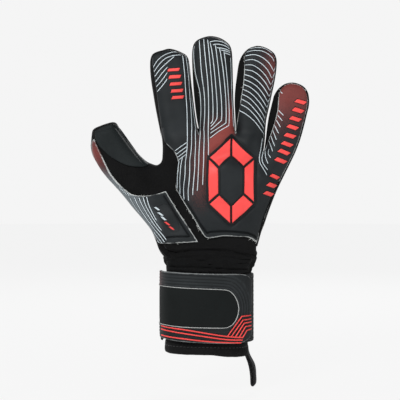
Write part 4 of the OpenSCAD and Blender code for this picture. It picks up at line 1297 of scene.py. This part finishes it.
def sleeve_folds(V, th):
    z = V[:, 2]
    n1 = np.array([noise.fractal(Vector((math.cos(t) * 1.3, math.sin(t) * 1.3, zz * 0.16)), 1.0, 2.0, 3) for t, zz in zip(th, z)])
    n2 = np.array([noise.noise(Vector((math.cos(t) * 0.9 + 5, math.sin(t) * 0.9, zz * 0.05))) for t, zz in zip(th, z)])
    x = V[:, 0]
    z1 = 78.2 + 2.2 * n2 - 0.02 * x
    z2 = 82.6 + 1.6 * n2 - 0.035 * x
    lines = 0.9 * np.exp(-(((z - z1 - 2.3) / 1.3) ** 2)) - 1.3 * np.exp(-(((z - z1) / 0.9) ** 2)) + 0.8 * np.exp(-(((z - z1 + 2.2) / 1.2) ** 2)) - 0.8 * np.exp(-(((z - z2) / 0.8) ** 2))
    side = 0.25 + 0.75 * smooth(0.15, 0.7, np.abs(np.sin(th)))
    return (n1 * 0.75 + lines) * side


wr = lerp_rows([(96, 0.5, 0, 38.5, 15.5), (91, 1.6, 0, 38.8, 16.2), (87.5, 2.1, 0, 39.4, 17.4), (85.5, 2.2, 0, 40.0, 18.6), (82, 1.9, 0, 39.1, 20.5), (78, 1.5, 0, 37.9, 21.6), (74.5, 1.2, 0, 37.0, 22.0), (66, 0, 0, 36, 22.2)], np.arange(96, 65.9, -0.75))


def drape(m, n, pinned, grow, frames, scale=0.01):
    """Lets a pinned tube of cloth that's a little too big for its frame buckle into folds."""
    me = bpy.data.meshes.new("drape")
    rows = len(m.V) // n
    quads = [(r * n + i, r * n + (i + 1) % n, (r + 1) * n + (i + 1) % n, (r + 1) * n + i) for r in range(rows - 1) for i in range(n)]
    me.from_pydata([tuple(v) for v in m.V * scale], [], quads)
    o = bpy.data.objects.new("drape", me)
    bpy.context.scene.collection.objects.link(o)
    vg = o.vertex_groups.new(name="pin")
    vg.add([int(i) for i in np.where(pinned)[0]], 1.0, "REPLACE")
    c = o.modifiers.new("cloth", "CLOTH")
    st = c.settings
    st.quality = 7
    st.mass = 0.3
    st.tension_stiffness = 30
    st.compression_stiffness = 30
    st.shear_stiffness = 12
    st.bending_stiffness = 1.2
    st.air_damping = 2.0
    st.vertex_group_mass = "pin"
    st.shrink_min = -grow
    st.effector_weights.gravity = 0.0
    c.collision_settings.use_collision = False
    c.collision_settings.use_self_collision = False
    c.point_cache.frame_start = 1
    c.point_cache.frame_end = frames
    sc = bpy.context.scene
    for f in range(1, frames + 1):
        sc.frame_set(f)
        ev = o.evaluated_get(bpy.context.evaluated_depsgraph_get())
        V = np.array([tuple(v.co) for v in ev.data.vertices]) / scale if f == frames else None
    sc.frame_set(1)
    bpy.data.objects.remove(o)
    return V


w = tube(wr, 150, sleeve_folds)
moved = drape(w, 150, (w.V[:, 2] > 92) | (w.V[:, 2] < 73.2), 0.10, 26) - w.V
# the folds stay between the lining and the hand
along = (moved * w.N).sum(1)
keep = np.clip(along, -2.6, 1.3) / np.where(np.abs(along) < 1e-6, 1, along)
side = (moved - along[:, None] * w.N)
w.V = w.V + w.N * (along * keep)[:, None] + np.clip(side, -1.0, 1.0)
w.N = normals(w.V, w.F)
print("drape moved up to", round(float(np.abs(along).max()), 2), "mm, kept", round(float(np.abs(along * keep).max()), 2))
o = build("wrist_sleeve", w, [KNIT])
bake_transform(o)
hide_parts("wrist_elastic")

cu = lerp_rows([(70, 0, 0, 35.9, 22.2), (40, -0.4, 0, 35.8, 22.3), (12, -0.9, 0, 35.6, 22.4), (9, -0.9, 0, 35.6, 22.4)], np.arange(70, 7.9, -2.0))
w = tube(cu, 132, lambda V, th: np.array([0.5 * noise.fractal(Vector((math.cos(t) * 1.4, math.sin(t) * 1.4, z * 0.08)), 1.0, 2.0, 3) for t, z in zip(th, V[:, 2])]))
inner = lerp_rows([(8, -0.9, 0, 33.8, 20.4), (60, 0, 0, 34.0, 20.4), (71, 0.5, 0, 34.4, 20.4)], np.arange(8, 71.1, 3.0))
wi = tube(inner, 132)
wi.F = wi.F[:, ::-1]
wi.N = normals(wi.V, wi.F)
o = build("cuff_sleeve_knit", join(w, wi), [KNIT])
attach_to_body(o, "cuff")
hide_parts("cuff_sleeve")

# hem: a bound edge, a little lower on the little-finger side
def hem_rise(x, z):
    return (3.7 - 2.9 * smooth(-8, 36, x)) * np.clip(1 - z / 16, 0, 1)


def hem():
    sec = [(0.0, 14.0), (0.55, 12.0), (0.75, 9.5), (0.35, 8.6), (0.75, 7.6), (1.0, 5.0), (1.05, 2.6), (0.6, 0.6), (-0.5, -0.2), (-1.6, 0.4), (-2.1, 2.4), (-2.0, 7.0), (-1.8, 12.0)]
    n = 150
    tt = np.linspace(0, 2 * math.pi, 4000)
    x, y = oval(tt, 36, 22)
    s = np.concatenate([[0], np.cumsum(np.hypot(np.diff(x), np.diff(y)))])
    th = np.interp(np.arange(n) / n * s[-1], s, tt)
    V = []
    for d, z in sec:
        x, y = oval(th, 35.7 + d, 22.4 + d)
        V.append(np.stack([x - 0.9, y, z + hem_rise(x, z)], 1))
    V = np.concatenate(V)
    k = len(sec)
    F = []
    for r in range(k - 1):
        for i in range(n):
            a, b = r * n + i, r * n + (i + 1) % n
            F += [(a, b + n, b), (a, a + n, b + n)]
    m = M(V, F)
    V2 = wrinkle(m.V, m.N, 0.35, 0.09, 3.0)
    m.V = V2
    m.N = normals(m.V, m.F)
    return m


def ring_thread(z, off, n=90, drop=True):
    """A row of stitches round the hem."""
    out = []
    tt = np.linspace(0, 2 * math.pi, 4000)
    x, y = oval(tt, 36 + off, 22.7 + off)
    s = np.concatenate([[0], np.cumsum(np.hypot(np.diff(x), np.diff(y)))])
    for a in np.arange(0, s[-1] - 2.2, 3.3):
        q = np.interp(np.linspace(a, a + 2.2, 4), s, tt)
        xx, yy = oval(q, 36 + off, 22.7 + off)
        zz = z + hem_rise(xx, z)
        c = np.stack([xx - 0.9, yy, zz], 1)
        nn = unit(np.stack([xx / 36**2, yy / 22.7**2, np.zeros(4)], 1))
        w = 0.28
        up = np.array([0, 0, 1.0])
        V = np.concatenate([c + up * w, c + nn * 0.3, c - up * w])
        V[[0, 3, 4, 7, 8, 11]] -= np.tile(nn[[0, 3]] * 0.2, (3, 1))
        F = []
        for r in range(2):
            for i in range(3):
                p = r * 4 + i
                F += [(p, p + 4, p + 5), (p, p + 5, p + 1)]
        m = M(V, F, 1)
        if (np.cross(V[F[0][1]] - V[F[0][0]], V[F[0][2]] - V[F[0][0]]) @ nn[0]) < 0:
            m.F = m.F[:, ::-1]
            m.N = normals(m.V, m.F)
        out.append(m)
    return join(*out)


o = build("cuff_hem_binding", join(hem(), ring_thread(8.6, 0.35)), [BINDING, HEM_THREAD])
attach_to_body(o, "cuff")
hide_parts("cuff_hem")


class Wrap:
    """A sheet's place on the wrist: u runs along the oval from the thumb side across the back, z is height."""

    def __init__(self, a, b, xc=-0.3, t_from=math.pi, sign=1):
        self.a, self.b, self.xc = a, b, xc
        tt = np.linspace(-math.pi / 2, 5 * math.pi / 2, 12000)
        x, y = oval(tt, a, b)
        s = np.concatenate([[0], np.cumsum(np.hypot(np.diff(x), np.diff(y)))])
        s0 = np.interp(t_from, tt, s)
        self.tt, self.s = tt, (s - s0)

    def at(self, P, taper=0.0):
        t = np.interp(P[:, 0], self.s, self.tt)
        x, y = oval(t, self.a, self.b)
        e = 0.01
        x1, y1 = oval(t + e, self.a, self.b)
        x0, y0 = oval(t - e, self.a, self.b)
        tx, ty = x1 - x0, y1 - y0
        n = unit(np.stack([ty, -tx, np.zeros(len(P))], 1))
        return np.stack([self.xc + x, y, P[:, 1]], 1), n

    def u_of_x(self, x):
        """Length along the back at which the sheet stands at x."""
        m = (self.tt > math.pi) & (self.tt < 2 * math.pi)
        X, _ = oval(self.tt[m], self.a, self.b)
        return float(np.interp(x - self.xc, X, self.s[m]))


def wrap_sheet(outline, wrap, thick, step=1.6, rows=(0.35, 0.85, 1.5), emboss=None, bevel=0.9, extra=(), two_sided=True, mi=0, wall_mi=0, red=None, lift=0.0, fade=None):
    V2, T, e = triangulate(outline, list(rows), step, extra)
    pos, n = wrap.at(V2)
    top = lift + thick - bevel * (1 - np.sqrt(np.clip(1 - (1 - np.clip(e / bevel, 0, 1)) ** 2, 0, 1)))
    if emboss is not None:
        top = top + emboss(V2, e)
    Vt = pos + n * top[:, None]
    A = {"edge": e.copy(), "red": red(V2) if red else np.zeros(len(V2)), "fade": fade(V2) if fade else np.zeros(len(V2))}
    c = np.cross(Vt[T[:, 1]] - Vt[T[:, 0]], Vt[T[:, 2]] - Vt[T[:, 0]])
    out = T if (c * n[T[:, 0]]).sum() > 0 else T[:, ::-1]
    face = M(Vt, out, mi, A)
    low = M(pos + n * lift, out[:, ::-1], wall_mi, {"edge": np.full(len(V2), 9.0)})
    edges = set()
    for f in out:
        for i in range(3):
            edges.add((int(f[i]), int(f[(i + 1) % 3])))
    bd = [(a, b) for (a, b) in edges if (b, a) not in edges]
    bd.sort()
    ids = sorted({i for ab in bd for i in ab})
    loc = {v: i for i, v in enumerate(ids)}
    ii = np.array(ids)
    k = len(ii)
    W = np.concatenate([Vt[ii], pos[ii] + n[ii] * lift])
    WF = []
    for a, b in bd:
        a0, b0 = loc[a], loc[b]
        WF += [(b0, a0, a0 + k), (b0, a0 + k, b0 + k)]
    wall = M(W, WF, mi, {"edge": np.concatenate([np.zeros(k), np.full(k, 0.05)])})
    return join(face, low, wall)


# the elastic band that goes round under the flap
BAND = Wrap(38.9, 24.6, -0.3, math.pi * 186 / 180)
uL = -4.0
u_right = BAND.u_of_x(26.0)
per = BAND.s[np.searchsorted(BAND.tt, math.pi * (186 / 180) + 2 * math.pi - 1e-6) - 1] if BAND.tt[-1] > math.pi * (186 / 180) + 2 * math.pi else None


def band_outline():
    # from the thumb side round the palm side to the little-finger side and a little way over the back
    full = 2 * math.pi * 31
    tt, s = BAND.tt, BAND.s
    u0 = float(np.interp(-math.pi / 2 + 0.25, tt, s))
    u1 = float(np.interp(math.pi * 187 / 180, tt, s))
    return u0, u1


u0, u1 = band_outline()
bo = curve(np.array([[u0, 13.6], [u1 - 1, 13.6], [u1, 14.8], [u1, 71.2], [u1 - 1, 72.4], [u0, 72.4]]), 1.4, True, 30)
band = wrap_sheet(bo, BAND, 1.9, 2.0, emboss=lambda P, e: 0.12 * np.cos(P[:, 1] * 2.1) * smooth(2, 4, e) - 0.35 * np.exp(-(((e - 2.2) / 0.5) ** 2)))


def on_band(P):
    pos, n = BAND.at(P)
    return pos + n * 1.9, n


bst = stitches(thin_ring(bo, 2.2), on_band, 3.2, 2.2, 0.5, 0.2)
o = build("strap_elastic_band", join(band, bst), [ELASTIC, THREAD])
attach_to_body(o, "cuff")
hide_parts("strap_band")

lp = Wrap(36.9, 23.5, -0.3, math.pi)
ua, ub = lp.u_of_x(-26), lp.u_of_x(24)
po = curve(np.array([[ua, 21], [ub, 21], [ub, 65], [ua, 65]]), 1.4, True, 30)
o = build("loop_tape_patch", wrap_sheet(po, lp, 1.1, 1.8, bevel=0.4), [LOOPS])
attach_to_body(o, "cuff")
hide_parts("loop_patch")

# the flap: embossed rubber, its free end on the little-finger side
FL = Wrap(39.6, 27.0, -0.5, math.pi)
FT = 2.2


def fu(x, z, r=2.2):
    """Drawing x, z seen from the back, to u, z on the flap."""
    y = -24.0
    X = VIEW_C[0] + (x - VIEW_C[0]) * (1 + y / VIEW_D)
    Z = VIEW_C[1] + (z - VIEW_C[1]) * (1 + y / VIEW_D)
    return FL.u_of_x(max(-39.6, min(39.0, X * (1 - r / 45)))), Z


def fl(P):
    return np.array([fu(x, z) for x, z in P])


U0 = -3.5
flap_pts = fl(mm("29.0,71.1 34.8,70.0 38.3,67.2 39.7,62.5 39.9,37.5 38.8,35.9 40.0,34.3 39.7,18.5 38.3,14.4 34.6,11.8 29.0,10.2 12.1,10.6 -8.9,11.3 -25.7,12.0 -39.2,13.2"))
zt, zb = fl(mm("-40.9,73.0"))[0][1], fl(mm("-41.8,13.6"))[0][1]
FO = np.concatenate([[[U0 + 0.9, zb + 0.1]], [[U0, zb + 1.1]], [[U0, zt - 1.3]], [[U0 + 1.0, zt - 0.3]], fl(mm("-37.4,72.9 -17.3,72.3 8.0,71.6")), flap_pts])
FO = curve(FO, 1.15, True, 50)
IN_P = fl(mm("-37.4,59.8 -15.4,59.0 2.2,58.4 14.7,57.7 19.8,56.4 25.0,50.7 27.7,42.2 26.5,33.6 23.1,27.9 18.9,25.0 14.7,24.3 -6.6,24.6 -26.0,25.0 -37.4,25.7"))
INSET = np.concatenate([[[U0 + 0.6, IN_P[-1][1]]], [[U0 + 0.6, IN_P[0][1]]], IN_P])
INSET_C = curve(INSET, 1.1, True, 60)
RIM = curve(np.concatenate([[[U0 - 2, IN_P[0][1]]], IN_P, [[U0 - 2, IN_P[-1][1]]]]), 0.9, False, 60)


def flap_emboss(P, e):
    d = seg_dist(P, RIM)
    out = ~inside(P, INSET_C)
    h = np.zeros(len(P))
    for r, a in ((2.6, 0.9), (5.2, 0.9), (7.9, 0.9), (10.6, 0.7)):
        h -= a * np.exp(-(((d - r) / 0.7) ** 2)) * out * smooth(U0 + 0.6, U0 + 3.2, P[:, 0])
    h -= 0.9 * smooth(1.4, 0.0, d) * ~out + 0.9 * (~out) * smooth(0.0, 1.4, d)
    h += 0.25 * smooth(1.5, 5, e)
    return h


fx = []
for r in (-1.0, 0.0, 1.8, 2.6, 3.4, 4.4, 5.2, 6.0, 7.1, 7.9, 8.7, 9.9, 10.6, 11.3):
    q = RIM + inward(np.concatenate([RIM]))[:len(RIM)] * (-r)
    fx.append(q)


# Painted highlight: a faint stroke of the pale print colour along each ridge top between the rim grooves, outside the
# inset, only on the upper part of the flap.
def flap_ridge_highlight(P):
    d = seg_dist(P, RIM)
    q = np.zeros(len(P))
    for r in (1.3, 3.9, 6.5, 9.2, 12.2):
        q = np.maximum(q, 0.040 * np.exp(-(((d - r) / 0.75) ** 2)))
    return q * ~inside(P, INSET_C) * smooth(28, 40, P[:, 1])


def flap_red(P):
    x = P[:, 0]
    return 0.55 * smooth(24, -2, x) * smooth(56, 62, P[:, 1])


flap = wrap_sheet(FO, FL, FT, 1.5, emboss=flap_emboss, extra=fx, red=flap_red, fade=flap_ridge_highlight)


def on_flap(P):
    pos, n = FL.at(P)
    e = seg_dist(P, FO, True)
    return pos + n * (FT + 0.25 * smooth(1.5, 5, e) - 0.5 * smooth(1.2, 0.1, e))[:, None], n


def on_flap_low(P):
    pos, n = FL.at(P)
    return pos + n * (FT + 0.25 - 0.85), n


STR = [mm(t) for t in (
    "-41.2,24.2 -19.8,22.5 2.2,19.2 17.9,16.7 31.1,15.2", "-41.2,21.4 -19.8,19.2 2.2,16.2 17.9,14.0 31.4,12.9", "-41.2,16.0 -19.8,14.5 2.2,12.4 17.9,11.3 30.5,10.5",
    "17.3,16.3 30.5,33.9 39.0,33.9", "20.7,15.9 31.4,30.5 39.1,30.8", "24.2,15.2 32.5,27.7 39.3,28.0", "27.7,14.8 33.6,24.5 39.3,24.8", "30.8,14.5 34.9,21.1 39.3,21.7")]
lines = []
for i, L in enumerate(STR):
    q = curve(fl(curve(L, 2.0, False, 25)), 0.9, False, 25)
    r = ribbon(q, on_flap, 1.15 if i < 3 else 1.0, 0.42, 1, smooth_it=False, clip=FO)
    if r:
        lines.append(r)
turn = int(np.argmax((RIM[:, 1] < 39) & (RIM[:, 0] > 40)))
# Painted shade: ribbons of the darker foam lie in the four rim grooves.
for r, w in ((2.6, 0.9), (5.2, 0.9), (7.9, 0.9), (10.6, 0.7)):
    q = (RIM - inward(RIM) * r)[2:turn]
    q = q[q[:, 0] > U0 + 2.4]
    rb = ribbon(q, on_flap_low, w, 0.12, 2, smooth_it=False, clip=thin_ring(FO, 1.2))
    if rb:
        lines.append(rb)
o = build("strap_flap_rubber", join(flap, *lines), [FOAM_STRAP, RED, DARK_FOAM_AND_SHADE])
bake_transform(o)
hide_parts("strap_flap")

inset_sheet = wrap_sheet(thin_ring(INSET_C, 0.3), FL, 0.9, 1.7, emboss=lambda P, e: 0.2 * smooth(1, 6, e), bevel=0.5, lift=FT - 1.1)
pipe = ribbon(RIM[RIM[:, 0] > U0 + 0.4], lambda P: ((lambda r: (r[0] + r[1] * (FT + 0.05), r[1]))(FL.at(P))), 0.66, 0.42, 1, smooth_it=False)
o = build("strap_inset_panel", join(inset_sheet, pipe), [SMOOTH, PALE_LINE])
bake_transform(o)
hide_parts("strap_inset")

hk = Wrap(39.3, 26.1, -0.5, math.pi)
ua, ub = hk.u_of_x(-24), hk.u_of_x(27)
po = curve(np.array([[ua, 22], [ub, 22], [ub, 64], [ua, 64]]), 1.4, True, 30)
m = wrap_sheet(po, hk, 0.8, 1.8, bevel=0.3)
m.F = m.F
o = build("hook_tape_patch", m, [HOOKS])
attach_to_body(o, "strap")
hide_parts("hook_patch")

# ------------------------------------------------------------------ pull loop: webbing folded in two
def webbing(path, width, thick, mi=0, turn=0.0):
    """A flat strip along a path in x, z; its width lies along y."""
    P = curve(path, 0.9, False, 400)
    t = unit(np.gradient(P, axis=0))
    s = np.stack([-t[:, 1], t[:, 0]], 1)
    h, w = thick / 2, width / 2
    sec = [(-h, -w + h * 0.5), (-h * 0.6, -w), (h * 0.6, -w), (h, -w + h * 0.5), (h * 1.08, -w * 0.33), (h * 0.9, 0), (h * 1.08, w * 0.33), (h, w - h * 0.5), (h * 0.6, w), (-h * 0.6, w), (-h, w - h * 0.5), (-h * 1.08, w * 0.33), (-h * 0.9, 0), (-h * 1.08, -w * 0.33)]
    k = len(sec)
    V = []
    for a, y in sec:
        q = P + s * a
        V.append(np.stack([q[:, 0] + y * turn, np.full(len(P), y), q[:, 1]], 1))
    V = np.concatenate(V)
    n = len(P)
    F = []
    for c in range(k):
        d = (c + 1) % k
        for i in range(n - 1):
            F += [(c * n + i, d * n + i, d * n + i + 1), (c * n + i, d * n + i + 1, c * n + i + 1)]
    for e in (0, n - 1):
        for c in range(1, k - 1):
            F.append((e, c * n + e, (c + 1) * n + e) if e == 0 else (e, (c + 1) * n + e, c * n + e))
    m = M(V, F, mi)
    ctr = V.reshape(k, n, 3).mean(0)
    f0 = m.F[0]
    c = np.cross(V[f0[1]] - V[f0[0]], V[f0[2]] - V[f0[0]])
    if c @ (V[f0[0]] - ctr[0]) < 0:
        m.F = m.F[:, ::-1]
    m.N = normals(m.V, m.F)
    return m


LP = mm("34.3,8 34.9,3.4 36.2,-0.6 38.0,-4.0 39.8,-7.4 40.9,-11.5 41.4,-16.5 41.6,-21.5 41.5,-24.2 40.9,-25.9 39.9,-25.9 39.3,-24.2 39.1,-20.0 38.6,-14.5 37.7,-9.6 36.5,-5.0 34.9,-0.8 33.2,3.2 32.5,8")
lw = webbing(LP, 9.0, 1.7, turn=0.22)
lw.V = wrinkle(lw.V, lw.N, 0.12, 0.3, 9.0)
o = build("pull_loop_webbing", lw, [WEBBING])
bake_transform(o)
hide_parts("pull_loop")
tab = webbing(mm("32.0,12 32.0,8 32.0,3 32.1,1"), 10.0, 1.0)
o = build("pull_loop_bartack", tab, [WEBBING])
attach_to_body(o, "cuff")
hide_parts("pull_loop_anchor")

# ------------------------------------------------------------------ room, light and camera
scene = bpy.context.scene
scene.view_settings.view_transform = "Standard"
scene.view_settings.look = "None"


def plain(name, color, rough=0.9):
    m, nt, bs = nodes_of(name)
    bs.inputs["Base Color"].default_value = (*color, 1)
    bs.inputs["Roughness"].default_value = rough
    bs.inputs["Specular IOR Level"].default_value = 0.1
    return m


bpy.ops.mesh.primitive_circle_add(vertices=96, radius=6.0, fill_type="NGON", location=(0, 0, CAD_BOX[0][2] - 0.0015))
floor = bpy.context.object
floor.name = "floor"
fm, fnt, fbs = nodes_of("floor_pale")
fbs.inputs["Base Color"].default_value = (0.030, 0.030, 0.030, 1)
fbs.inputs["Roughness"].default_value = 1.0
fbs.inputs["Specular IOR Level"].default_value = 0.0
fbs.inputs["Emission Color"].default_value = (0.888, 0.888, 0.888, 1)
fbs.inputs["Emission Strength"].default_value = 1.0
floor.data.materials.append(fm)

world = bpy.data.worlds.new("studio")
scene.world = world
world.use_nodes = True
wn = world.node_tree
wn.nodes.clear()
wo = wn.nodes.new("ShaderNodeOutputWorld")
bg = wn.nodes.new("ShaderNodeBackground")
bg.inputs[0].default_value = (0.912, 0.912, 0.912, 1)
bg.inputs[1].default_value = 1.0
dim = wn.nodes.new("ShaderNodeBackground")
dim.inputs[0].default_value = (0.95, 0.97, 1.0, 1)
dim.inputs[1].default_value = 0.20
lpn = wn.nodes.new("ShaderNodeLightPath")
mx = wn.nodes.new("ShaderNodeMixShader")
wn.links.new(lpn.outputs["Is Camera Ray"], mx.inputs[0])
wn.links.new(dim.outputs[0], mx.inputs[1])
wn.links.new(bg.outputs[0], mx.inputs[2])
wn.links.new(mx.outputs[0], wo.inputs[0])


def lamp(name, loc, target, size, power, color=(1, 1, 1)):
    d = bpy.data.lights.new(name, "AREA")
    d.shape = "DISK"
    d.size = size
    d.energy = power
    d.color = color
    o = bpy.data.objects.new(name, d)
    o.location = loc
    o.rotation_euler = (Vector(target) - Vector(loc)).to_track_quat("-Z", "Y").to_euler()
    scene.collection.objects.link(o)
    return o


lamp("key", (-0.50, -0.95, 0.85), (0, 0, 0.15), 0.5, 12.6)
lamp("fill", (0.9, -0.65, 0.35), (0, 0, 0.13), 0.6, 3.0)
lamp("back", (0.25, 0.95, 0.8), (0, 0, 0.15), 0.6, 13.5)
lamp("back_fill", (-0.9, 0.6, 0.3), (0, 0, 0.13), 0.6, 3.0)

cam = bpy.data.cameras.new("camera")
cam.lens = 85.0
cam.sensor_width = 36.0
cam.clip_start = 0.02
co = bpy.data.objects.new("camera", cam)
co.location = (VIEW_C[0] * MM, -VIEW_D * MM, VIEW_C[1] * MM)
co.rotation_euler = (math.radians(90), 0, 0)
scene.collection.objects.link(co)
scene.camera = co
